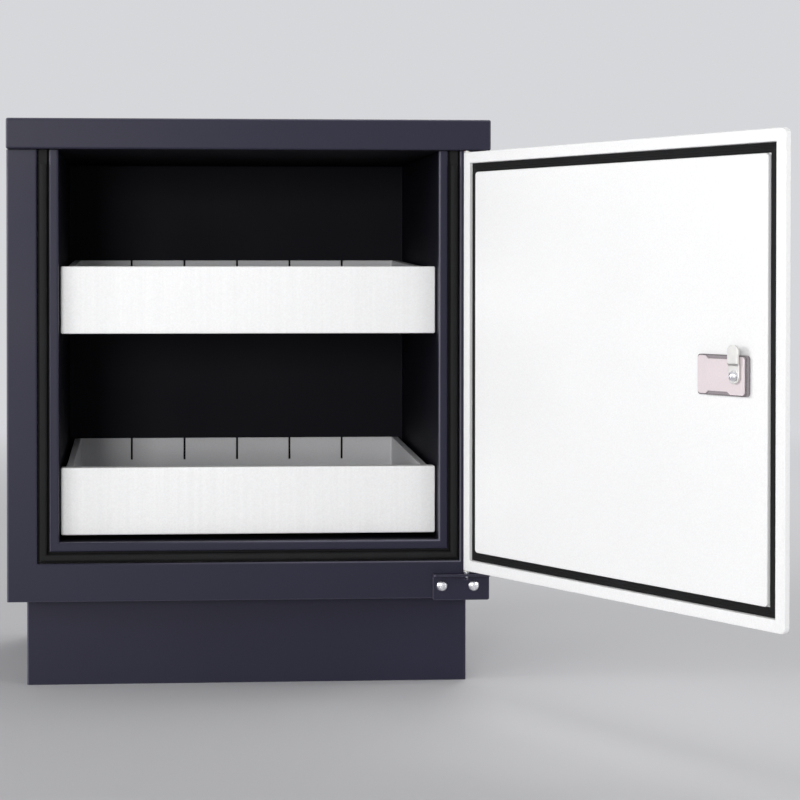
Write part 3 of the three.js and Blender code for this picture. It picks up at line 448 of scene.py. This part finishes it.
def block(low, high):
    low, high = Vector(low), Vector(high)
    bm = bmesh.new()
    fit = Matrix.Translation((low + high) / 2) @ Matrix.Diagonal((*(high - low), 1))
    bmesh.ops.create_cube(bm, size=1, matrix=fit)
    return bm


def edges_along(bm, axis):
    """Edges that run along an axis, given by its index."""
    return [e for e in bm.edges if abs((e.verts[1].co - e.verts[0].co).normalized()[axis]) > 0.999]


def sharp_edges(bm, degrees=35):
    least = math.radians(degrees)
    return [e for e in bm.edges if len(e.link_faces) == 2 and e.calc_face_angle(0) > least]


def round_edges(bm, edges, radius, steps):
    bmesh.ops.bevel(
        bm, geom=list(edges), offset=radius, offset_type="OFFSET", segments=steps, profile=0.5,
        affect="EDGES", clamp_overlap=True, material=-1,
    )
    bmesh.ops.remove_doubles(bm, verts=bm.verts, dist=same_spot)
    return bm


print("a trial block has", len(block((0, 0, 0), (1, 1, 1)).faces), "faces")

# %% Cutting, joining and turning
def combined(bm, tool, how="DIFFERENCE"):
    """Cuts a closed tool out of a closed shape, or joins the two."""
    pair = []
    for shape in (bm, tool):
        mesh = bpy.data.meshes.new("blank")
        shape.to_mesh(mesh)
        shape.free()
        pair.append(bpy.data.objects.new("blank", mesh))
        bpy.context.scene.collection.objects.link(pair[-1])
    work, cutter = pair
    change = work.modifiers.new("change", "BOOLEAN")
    change.object, change.operation, change.solver = cutter, how, "EXACT"
    result = bpy.data.meshes.new_from_object(work.evaluated_get(bpy.context.evaluated_depsgraph_get()))
    made = bmesh.new()
    made.from_mesh(result)
    for thing in pair:
        mesh = thing.data
        bpy.data.objects.remove(thing)
        bpy.data.meshes.remove(mesh)
    bpy.data.meshes.remove(result)
    return made


def turned(profile, x, z, steps=40):
    """Spins (radius, y) points about the Y axis through x and z."""
    bm = bmesh.new()
    chain = [bm.verts.new((x + radius, y, z)) for radius, y in profile]
    links = [bm.edges.new(pair) for pair in zip(chain, chain[1:])]
    bmesh.ops.spin(
        bm, geom=chain + links, cent=(x, 0, z), axis=(0, 1, 0), angle=2 * math.pi, steps=steps,
        use_merge=True,
    )
    bmesh.ops.remove_doubles(bm, verts=bm.verts, dist=same_spot)
    bmesh.ops.recalc_face_normals(bm, faces=bm.faces)
    return bm


def upright_pin(radius, x, y, low, high):
    """A closed cylinder along Z, to bore with."""
    bm = bmesh.new()
    fit = Matrix.Translation((x, y, (low + high) / 2))
    bmesh.ops.create_cone(
        bm, cap_ends=True, segments=32, radius1=radius, radius2=radius, depth=high - low, matrix=fit,
    )
    return bm


print("a trial pin has", len(upright_pin(1, 0, 0, 0, 1).faces), "faces")

# %% [markdown]
# ## Softened copies of plain sheet pieces
# The carcass is right as it is, except that its folds are sharp. A copy of the CAD mesh is merged, its flat faces
# are dissolved into one, and its edges are bevelled. Most folds of thin sheet have a radius of a little over half
# a millimetre. The two beside the seal's groove are rolled wider, to 2.2 mm, and draw the thin pale lines along
# rim and lip in the photograph, together with the highlight that the slate coat paints on those that face up and
# left. They are bevelled first and by themselves, because one short edge among them would hold back the width of
# them all.

# %% Softened copies
def softened(name, radius, steps=2, wanted=None):
    """A copy of a CAD node with its sharp edges bevelled, or only those that wanted picks."""
    bm = bmesh.new()
    bm.from_mesh(frame["nodes"][name].data)
    bmesh.ops.remove_doubles(bm, verts=bm.verts, dist=2e-6)
    bmesh.ops.dissolve_limit(bm, angle_limit=math.radians(0.5), verts=bm.verts, edges=bm.edges)
    edges = [e for e in sharp_edges(bm) if e.calc_length() > 2 * radius and (wanted is None or wanted(e))]
    return round_edges(bm, edges, radius, steps)


# The slate coat paints a highlight on the wide folds where they face up and left.
groove_fold, sheet_fold = 2.2 * MM, 0.6 * MM
groove_reach, long_edge = 20 * MM, 300 * MM
front_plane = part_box("outer_casing")[0].y
rim_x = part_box("lip_frame")[1].x + groove_reach
rim_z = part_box("lip_frame")[0].z - groove_reach


def beside_the_groove(edge):
    """Tells the long front edges of the lip and of the rim round it, but not the casing's outline."""
    in_front = all(abs(vert.co.y - front_plane) < 0.1 * MM for vert in edge.verts)
    near = all(abs(vert.co.x) < rim_x and vert.co.z > rim_z for vert in edge.verts)
    return in_front and near and edge.calc_length() > long_edge


for name in ("outer_casing", "lip_frame"):
    framed = softened(name, groove_fold, 5, beside_the_groove)
    rest = [e for e in sharp_edges(framed) if e.calc_length() > 2 * sheet_fold]
    place(f"folded_{name}", round_edges(framed, rest, sheet_fold, 2), "cabinet", slate_coat, name)
for name, fold in {"top_cap": 0.5, "plinth": 0.8, "hinge_bracket": 0.6}.items():
    place(f"folded_{name}", softened(name, fold * MM), "cabinet", slate_coat, name)

# %% [markdown]
# ## Liner
# The liner is a box with bends instead of sharp corners, painted near black, which stands in for the shade deep
# inside. The bend between its back and its right
# wall is what shows as a faint upright line deep in the photograph, so only the inner corners get
# the wider radius.

# %% Liner
liner_low, liner_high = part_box("inner_liner")
liner_bend, mouth_margin, shortest_bend = 2.5 * MM, 20 * MM, 200 * MM


def inner_corner(edge):
    middle = (edge.verts[0].co + edge.verts[1].co) / 2
    inside = liner_low.x + MM < middle.x < liner_high.x - MM and middle.z > liner_low.z + MM
    deep = liner_low.y + mouth_margin < middle.y < liner_high.y - MM
    return inside and deep and edge.calc_length() > shortest_bend


bent = softened("inner_liner", liner_bend, 3, inner_corner)
place("bent_liner", bent, "cabinet", liner_coat, "inner_liner")

# %% [markdown]
# ## Frame seal
# A rubber seal runs down one side of the opening, along the sill and up the other side, with mitred
# corners. It could be a curve with a bevel object, but mitres come out truer by hand: a few points
# draw the section, each extrusion runs to the next corner, and there each point stops where the two
# legs meet, by as much as it lies outside the groove's centre line. The two upper ends are cut back,
# so that they clear the leaf's upper flange when the door is shut.

# %% Frame seal
seal_low, seal_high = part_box("frame_seal")
half_foot = 6.45
groove_x = seal_high.x - half_foot * MM
groove_z = seal_low.z + half_foot * MM
crown_y, top_z = seal_low.y, seal_high.z

# Points of one half of the section: mm out from the groove's centre line, mm behind the crown.
crown_half = [
    (half_foot, 9.6), (4.4, 9.2), (4.0, 7.4), (4.3, 5.2), (4.2, 2.4), (3.3, 0.9), (1.6, 0.0),
]
section = crown_half + [(-s, d) for s, d in reversed(crown_half)]
section += [(-half_foot, 11.5), (half_foot, 11.5)]

seal = bmesh.new()
ring = [seal.verts.new((-groove_x - s * MM, crown_y + d * MM, top_z)) for s, d in section]
end = seal.faces.new(ring)


def run_on(bm, face):
    """Extrudes a face and returns the new one. A face inside the shape goes, a free end stays."""
    inside = all(len(edge.link_faces) == 2 for edge in face.edges)
    made = bmesh.ops.extrude_face_region(bm, geom=[face])["geom"]
    if inside and face.is_valid:
        bmesh.ops.delete(bm, geom=[face], context="FACES_ONLY")
    return next(part for part in made if isinstance(part, bmesh.types.BMFace))


for corner in ("lower left", "lower right", "upper right"):
    end = run_on(seal, end)
    for point in end.verts:
        if corner == "lower left":
            point.co.z = groove_z + (point.co.x + groove_x)
        elif corner == "lower right":
            point.co.x = groove_x + (groove_z - point.co.z)
        else:
            point.co.z = top_z
bmesh.ops.recalc_face_normals(seal, faces=seal.faces)

# spare is how far a cutting tool stands past the piece that it cuts.
half_span, spare = 0.3, 10 * MM
cut_length, behind_leaf = 14.75 * MM, 0.6 * MM
cut_back = block(
    (-half_span, crown_y - spare, door_high.z - cut_length),
    (half_span, door_high.y + behind_leaf, top_z + spare),
)
place("mitred_seal", combined(seal, cut_back), "cabinet", seal_rubber, "frame_seal")

# %% [markdown]
# ## Door leaf
# The leaf is a thin pan with a flat flange round a deep channel, all in white paint. It starts as one
# block: the hinge edge is rounded about the pivot, so that it clears the frame as it turns, the free
# corners get their radius, then the inner face is inset by the flange and pushed in by the channel's
# depth. Last come the small fold radii and the bores of the spindle and the two pivots.

# %% Door leaf
flange, channel_depth = 12.75 * MM, 5 * MM
hinge_radius, corner_radius, fold_radius = 3.3 * MM, 6 * MM, 0.9 * MM

leaf = block(door_low, door_high)
hinge_edges = [e for e in edges_along(leaf, Z) if e.verts[0].co.x > 0]
round_edges(leaf, hinge_edges, hinge_radius, 4)
free_corners = [e for e in edges_along(leaf, Y) if e.verts[0].co.x < 0]
round_edges(leaf, free_corners, corner_radius, 5)

inner_face = max(leaf.faces, key=lambda face: face.normal.y * face.calc_area())
bmesh.ops.inset_region(leaf, faces=[inner_face], thickness=flange - hinge_radius, use_even_offset=True)
for point in inner_face.verts:
    point.co.x = min(max(point.co.x, door_low.x + flange), door_high.x - flange)
    point.co.z = min(max(point.co.z, door_low.z + flange), door_high.z - flange)
bmesh.ops.remove_doubles(leaf, verts=leaf.verts, dist=1e-5)
channel_floor = run_on(leaf, max(leaf.faces, key=lambda face: face.normal.y * face.calc_area()))
bmesh.ops.translate(leaf, verts=channel_floor.verts, vec=(0, -channel_depth, 0))

folds = [e for e in sharp_edges(leaf, 50) if e.verts[0].co.y > door_low.y + MM or e.calc_length() > MM]
round_edges(leaf, folds, fold_radius, 3)
print("leaf before its bores:", len(leaf.faces), "faces")

# %% Bores of the leaf
spindle_low, spindle_high = shut_box("lock_spindle")
spindle_x = (spindle_low.x + spindle_high.x) / 2
spindle_z = (spindle_low.z + spindle_high.z) / 2
spindle_bore = {"radius": 5 * MM, "front": -0.22, "back": -0.19}
pivot_bore, pivot_depth = 3.0 * MM, 14.3 * MM


def drill(radius, front, back):
    """A closed cylinder on the spindle's axis, to bore with."""
    return turned([(0, front), (radius, front), (radius, back), (0, back)], spindle_x, spindle_z)


leaf = combined(leaf, drill(**spindle_bore))
lower_bore = upright_pin(pivot_bore, pivot.x, pivot.y, door_low.z - spare, door_low.z + pivot_depth)
upper_bore = upright_pin(pivot_bore, pivot.x, pivot.y, door_high.z - pivot_depth, door_high.z + spare)
for pin in (lower_bore, upper_bore):
    leaf = combined(leaf, pin)
place("door_leaf", swing_open(leaf), "door", white_coat, "door_skin")

# %% [markdown]
# ## Folded pans
# The inner panel of the door and the drawer fronts are made the same way at different sizes: a sheet
# with rounded corners, folded back all round. A block gets its corners, loses the face that stays
# open, has its rim bevelled, and is given the sheet's thickness with solidify.

# %% Folded pans
def folded_pan(low, high, open_side, corner, fold, sheet):
    """open_side is +1 for a pan that is open at +Y, and -1 for one that is open at -Y."""
    bm = block(low, high)
    round_edges(bm, edges_along(bm, Y), corner, 5)
    opening = [face for face in bm.faces if face.normal.y * open_side > 0.9]
    bmesh.ops.delete(bm, geom=opening, context="FACES_ONLY")
    shown = next(face for face in bm.faces if face.normal.y * open_side < -0.9)
    round_edges(bm, list(shown.edges), fold, 4)
    bmesh.ops.solidify(bm, geom=bm.faces[:], thickness=sheet)
    return bm


panel = folded_pan(*shut_box("door_panel"), -1, corner=4 * MM, fold=1.1 * MM, sheet=1.2 * MM)
panel = combined(panel, drill(**spindle_bore))
place("inner_panel", swing_open(panel), "door", white_coat, "door_panel")
for level in ("lower", "upper"):
    name = f"{level}_drawer_front"
    front = folded_pan(*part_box(name), 1, corner=2 * MM, fold=1.1 * MM, sheet=1.5 * MM)
    place(f"folded_{name}", front, f"{level}_drawer", front_coat, name)

# %% [markdown]
# ## Door gasket
# A flat rubber strip lies on the channel's floor with three low ribs, which meet the bulb of the frame
# seal. Nested insets make such a ring in a few lines: each step moves in by a width and up or down by
# a height, and the middle face is thrown away before the sheet gets its thickness. A face made from
# single points has no normal until it is updated, and its first inset would do nothing without one.

# %% Door gasket
gasket_low, gasket_high = shut_box("door_gasket")
rubber = 0.6 * MM
base_y = gasket_low.y + 0.7 * MM

gasket = bmesh.new()
outline = [
    (gasket_low.x, gasket_high.z), (gasket_high.x, gasket_high.z),
    (gasket_high.x, gasket_low.z), (gasket_low.x, gasket_low.z),
]
middle = gasket.faces.new([gasket.verts.new((x, base_y, z)) for x, z in outline])
gasket.normal_update()

# Each pair is a width and a rise in mm: the outer strip, three ribs with valleys, the inner strip.
rib, valley = [(0.6, 0.4), (0.9, 0), (0.6, -0.4)], [(0.8, 0)]
for width, rise in [(1.1, 0)] + rib + valley + rib + valley + rib + [(0.7, 0)]:
    bmesh.ops.inset_region(
        gasket, faces=[middle], thickness=width * MM, use_even_offset=True, use_boundary=True,
    )
    bmesh.ops.translate(gasket, verts=middle.verts, vec=(0, rise * MM, 0))
bmesh.ops.delete(gasket, geom=[middle], context="FACES")
bmesh.ops.solidify(gasket, geom=gasket.faces[:], thickness=rubber)
place("ribbed_gasket", swing_open(gasket), "door", seal_rubber, "door_gasket")

# %% [markdown]
# ## Drawer trays
# The trays keep their CAD shape, with hems over the slides and slits down the rear wall. Sheet that
# was punched and folded has slightly rounded rims, and a bevel of a third of a millimetre is enough
# for them to catch the light.

# %% Drawer trays
tray_rim = 0.35 * MM
for level in ("lower", "upper"):
    name = f"{level}_drawer_tray"
    place(f"hemmed_{name}", softened(name, tray_rim), f"{level}_drawer", tray_coat, name)

# %% [markdown]
# ## Lock
# A warm grey box on the inner panel carries an off-white cover plate with lobes at its corners, and a joggled cam
# points up from it. Pressed plates have soft edges, so all three are softened copies. The box gets the smallest
# radius, because its finish paints shade along edges that are nearly sharp.

# %% Lock
box_edge, cover_edge, cam_edge = 0.25 * MM, 0.45 * MM, 0.5 * MM
place("lock_box", softened("lock_case", box_edge), "door", case_coat, "lock_case")
place("lock_cover_plate", softened("lock_cover", cover_edge, 3), "door", lock_coat, "lock_cover")
place("joggled_cam", softened("lock_cam", cam_edge, 3), "handle", cam_plate, "lock_cam")

# %% [markdown]
# ## Screws
# The three screws that show are domed, bright and cross-driven. A half profile goes on the lathe, and
# two crossed blocks cut the recess. The bracket's screws face the front, and the cam's screw faces
# away from the panel, so the profile is drawn with a sign.

# %% Screws
def domed_screw(x, seat, z, facing, head, height, shank, length):
    """A screw along Y with its head's underside at seat. facing is -1 to the front, +1 to the back."""
    dome = [(0, 1), (0.3, 0.97), (0.58, 0.84), (0.8, 0.62), (0.93, 0.36), (1, 0.1), (1, 0)]
    profile = [(r * head / 2, seat + facing * h * height) for r, h in dome]
    profile += [(shank / 2, seat), (shank / 2, seat - facing * length), (0, seat - facing * length)]
    screw = turned(profile, x, z, 36)
    reach, slot = 0.29 * head, 0.055 * head
    recess_floor, above_dome = seat + facing * 0.45 * height, seat + facing * 1.5 * height
    near, far = sorted((recess_floor, above_dome))
    for wide, tall in ((reach, slot), (slot, reach)):
        screw = combined(screw, block((x - wide, near, z - tall), (x + wide, far, z + tall)))
    return screw


for hand in ("left", "right"):
    name = f"bracket_screw_{hand}"
    low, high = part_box(name)
    dome_height = 3.2 * MM
    screw = domed_screw(
        (low.x + high.x) / 2, low.y + dome_height, (low.z + high.z) / 2, -1,
        head=high.x - low.x, height=dome_height, shank=5 * MM, length=6 * MM,
    )
    place(f"domed_{name}", screw, "cabinet", bright_plate, name)

low, high = shut_box("cam_screw")
screw = domed_screw(
    spindle_x, high.y - 3 * MM, spindle_z, 1,
    head=high.x - low.x, height=3.8 * MM, shank=5 * MM, length=9 * MM,
)
place("domed_cam_screw", swing_open(screw), "handle", bright_plate, "cam_screw")

# %% [markdown]
# ## Handle on the outside
# A T-grip on a neck turns the cam. The grip is a cast piece: a block with large bevels, joined to a
# turned neck that flares away from it, and bored for the key plug and the spindle. Where the two meet,
# the union leaves points on top of each other, which are merged. The rosette is turned too, with a
# step that casts a fine line of shade. The key plug ends in a slot for the key.

# %% Grip and neck
grip_low, grip_high = shut_box("handle_grip")
grip_depth, grip_end, grip_edge, neck_radius = 13 * MM, 7.5 * MM, 3 * MM, 10 * MM
grip_front, neck_back = grip_low.y, grip_high.y

grip = block(grip_low, (grip_high.x, grip_front + grip_depth, grip_high.z))
round_edges(grip, edges_along(grip, Y), grip_end, 6)
round_edges(grip, sharp_edges(grip, 60), grip_edge, 4)

# Points of the neck: its radius, and how far behind the grip's front, in mm.
flare = [(0, 6), (8, 6), (8, 14), (8.4, 16), (9.4, 19), (10, 22)]
neck_profile = [(radius * MM, grip_front + depth * MM) for radius, depth in flare]
neck_profile += [(neck_radius, neck_back), (0, neck_back)]
handle = combined(grip, turned(neck_profile, spindle_x, spindle_z), "UNION")
plug_bore = drill(6.4 * MM, grip_front - spare, grip_front + 8 * MM)
socket = drill(4.8 * MM, neck_back - 8 * MM, neck_back + spare)
for hole in (plug_bore, socket):
    handle = combined(handle, hole)
bmesh.ops.remove_doubles(handle, verts=handle.verts, dist=same_spot)
place("cast_grip", swing_open(handle), "handle", black_coat, "handle_grip")

# %% Rosette
rosette_low, rosette_high = shut_box("handle_rosette")
outer, hole = (rosette_high.x - rosette_low.x) / 2, 10.4 * MM
front_y, rear_y = rosette_low.y, rosette_high.y

# Points of the stepped rim: in from the outer radius, and behind the front, in mm.
stepped_rim = [(0, 1.6), (0.5, 1.1), (3, 1.0), (3.6, 0.4), (4.6, 0)]
rosette_profile = [(hole, rear_y), (outer, rear_y)]
rosette_profile += [(outer - inward * MM, front_y + depth * MM) for inward, depth in stepped_rim]
rosette_profile += [(hole + 0.8 * MM, front_y), (hole, front_y + 0.6 * MM), (hole, rear_y)]
rosette = turned(rosette_profile, spindle_x, spindle_z, 56)
place("stepped_rosette", swing_open(rosette), "door", black_coat, "handle_rosette")

# %% Key plug
plug_low, plug_high = shut_box("key_plug")
chamfer = [(0, 0), (5.2, 0), (5.8, 0.4), (6, 1)]
plug_profile = [(radius * MM, plug_low.y + depth * MM) for radius, depth in chamfer]
plug_profile += [(6 * MM, plug_high.y), (0, plug_high.y)]
plug = turned(plug_profile, spindle_x, spindle_z)

key_width, key_height, key_depth = 2.2 * MM, 8 * MM, 4.8 * MM
keyway = block(
    (spindle_x - key_width / 2, plug_low.y - spare, spindle_z - key_height / 2),
    (spindle_x + key_width / 2, plug_low.y + key_depth, spindle_z + key_height / 2),
)
place("slotted_key_plug", swing_open(combined(plug, keyway)), "key", bright_plate, "key_plug")

# %% [markdown]
# ## Ball cages
# Each slide has two thin channels that hold steel balls between its members. The CAD balls are coarse,
# so each cage is built again: a channel cut from a block, and round balls in two rows. The wall side
# of a cage is told from the sign of its X.

# %% Ball cages
def ball_cage(name):
    """A channel that is open towards the cabinet's middle, with two rows of balls."""
    low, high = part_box(name)
    ball, web, count, inset, past = 2 * MM, 0.8 * MM, 4, 10 * MM, 1
    right_hand = low.x > 0
    row_x = low.x + ball if right_hand else high.x - ball
    rows = (low.z + ball, high.z - ball)
    strip = block((low.x, low.y, rows[0] - web / 2), (high.x, high.y, rows[1] + web / 2))
    hollow_x = (low.x - past, high.x - web) if right_hand else (low.x + web, high.x + past)
    hollow = block(
        (hollow_x[0], low.y - past, rows[0] + web / 2),
        (hollow_x[1], high.y + past, rows[1] - web / 2),
    )
    cage = combined(strip, hollow)
    pitch = (high.y - low.y - 2 * inset) / (count - 1)
    for row in rows:
        for index in range(count):
            fit = Matrix.Translation((row_x, low.y + inset + index * pitch, row))
            bmesh.ops.create_uvsphere(cage, u_segments=20, v_segments=12, radius=ball, matrix=fit)
    return cage


for level in ("lower", "upper"):
    for hand in ("left", "right"):
        for ring in ("outer", "inner"):
            name = f"{level}_{hand}_{ring}_cage"
            place(f"{name}_with_balls", ball_cage(name), f"{level}_{ring}_cages", zinc_plate, name)

# %% [markdown]
# ## Screws in the back cover
# Such a back is held by a row of small pan-head screws round its edge. They are one object, because
# they are all alike and none of them moves.

# %% Screws in the back cover
cover_low, cover_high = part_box("back_cover")
inset = 9 * MM
height = cover_high.z - cover_low.z - 2 * inset
columns = [cover_low.x + inset, 0, cover_high.x - inset]
lines = [cover_low.z + inset + share * height for share in (0, 0.34, 0.66, 1)]
seat = cover_high.y + 0.1 * MM

screws = bmesh.new()
for x in columns:
    for z in lines:
        if x or z in (lines[0], lines[-1]):
            screw = domed_screw(
                x, seat, z, 1, head=8 * MM, height=2 * MM, shank=3 * MM, length=2 * MM,
            )
            blank = bpy.data.meshes.new("blank")
            screw.to_mesh(blank)
            screw.free()
            screws.from_mesh(blank)
            bpy.data.meshes.remove(blank)
place("back_cover_screws", screws, "cabinet", zinc_plate)

# %% [markdown]
# ## Studio
# The object stands on a plain pale floor in soft light. The main lamp is left of the camera, low and
# far off: it lights the fronts evenly, and the slate paint under it is paler at the left, as in the
# photograph. A lamp at the left lights the inside of the open door, a weak one at the upper left draws
# the folds, and two at the right and one behind keep the other sides from going dark. The floor fades
# into the background with distance, so that there is no horizon line, and keeps the shadow near the
# object. Light Path gives the camera and mirror-like paths a pale world, while the light on the object
# keeps its own level.

# %% Floor
pale = srgb("#D6D7DA")
floor_radius, fade_from, fade_to = 14, 1.2, 4.0

floor = bmesh.new()
bmesh.ops.create_circle(floor, cap_ends=True, radius=floor_radius, segments=96)
mesh = bpy.data.meshes.new("floor")
floor.to_mesh(mesh)
floor.free()
ground = bpy.data.objects.new("floor", mesh)
bpy.context.scene.collection.objects.link(ground)

floor_finish, tree = new_finish("pale studio floor")
spot = node(tree, "TexCoord")["Object"]
distance = node(tree, "VectorMath", {0: spot}, operation="LENGTH")["Value"]
far = node(
    tree, "MapRange", {"Value": distance, "From Min": fade_from, "From Max": fade_to},
    interpolation_type="SMOOTHSTEP",
)[0]
matt = node(tree, "BsdfPrincipled", {"Base Color": srgb("#CFCFD2"), "Roughness": 0.8})["BSDF"]
glow = node(tree, "Emission", {"Color": pale, "Strength": 1.0})[0]
node(tree, "OutputMaterial", {"Surface": node(tree, "MixShader", {0: far, 1: matt, 2: glow})[0]})
mesh.materials.append(floor_finish)
print("floor radius:", floor_radius, "m")

# %% World
world = bpy.data.worlds.new("studio")
world.use_nodes = True
bpy.context.scene.world = world
tree = world.node_tree
tree.nodes.clear()
path = node(tree, "LightPath")
seen = node(tree, "Math", {0: path["Is Camera Ray"], 1: path["Is Glossy Ray"]}, operation="MAXIMUM")[0]
seen = node(tree, "Math", {0: seen, 1: path["Is Transmission Ray"]}, operation="MAXIMUM")[0]
room = node(tree, "Background", {"Color": (1, 1, 1, 1), "Strength": 0.22})[0]
backdrop = node(tree, "Background", {"Color": pale, "Strength": 1.0})[0]
node(tree, "OutputWorld", {"Surface": node(tree, "MixShader", {0: seen, 1: room, 2: backdrop})[0]})
print("world:", world.name)

# %% Lamps
aim = Vector((0, -0.1, 0.35))
softboxes = {
    # name: (place, size in m, watts)
    "key_upper_left": ((-1.9, -2.25, 1.2), 1.3, 16),
    "front_left": ((-1.09, -4.2, 0.75), 0.9, 61),
    "side_left": ((-2.8, -0.75, 1.0), 0.8, 30),
    "fill_right": ((2.6, -2.2, 1.4), 1.6, 25),
    "side_right": ((3.0, 0.5, 1.3), 1.2, 24),
    "rear_light": ((1.2, 2.6, 2.2), 2.0, 40),
}
for name, (spot, size, watts) in softboxes.items():
    lamp = bpy.data.lights.new(name, "AREA")
    lamp.size, lamp.energy = size, watts
    holder = bpy.data.objects.new(name, lamp)
    holder.location = spot
    holder.rotation_euler = (aim - Vector(spot)).to_track_quat("-Z", "Y").to_euler()
    bpy.context.scene.collection.objects.link(holder)
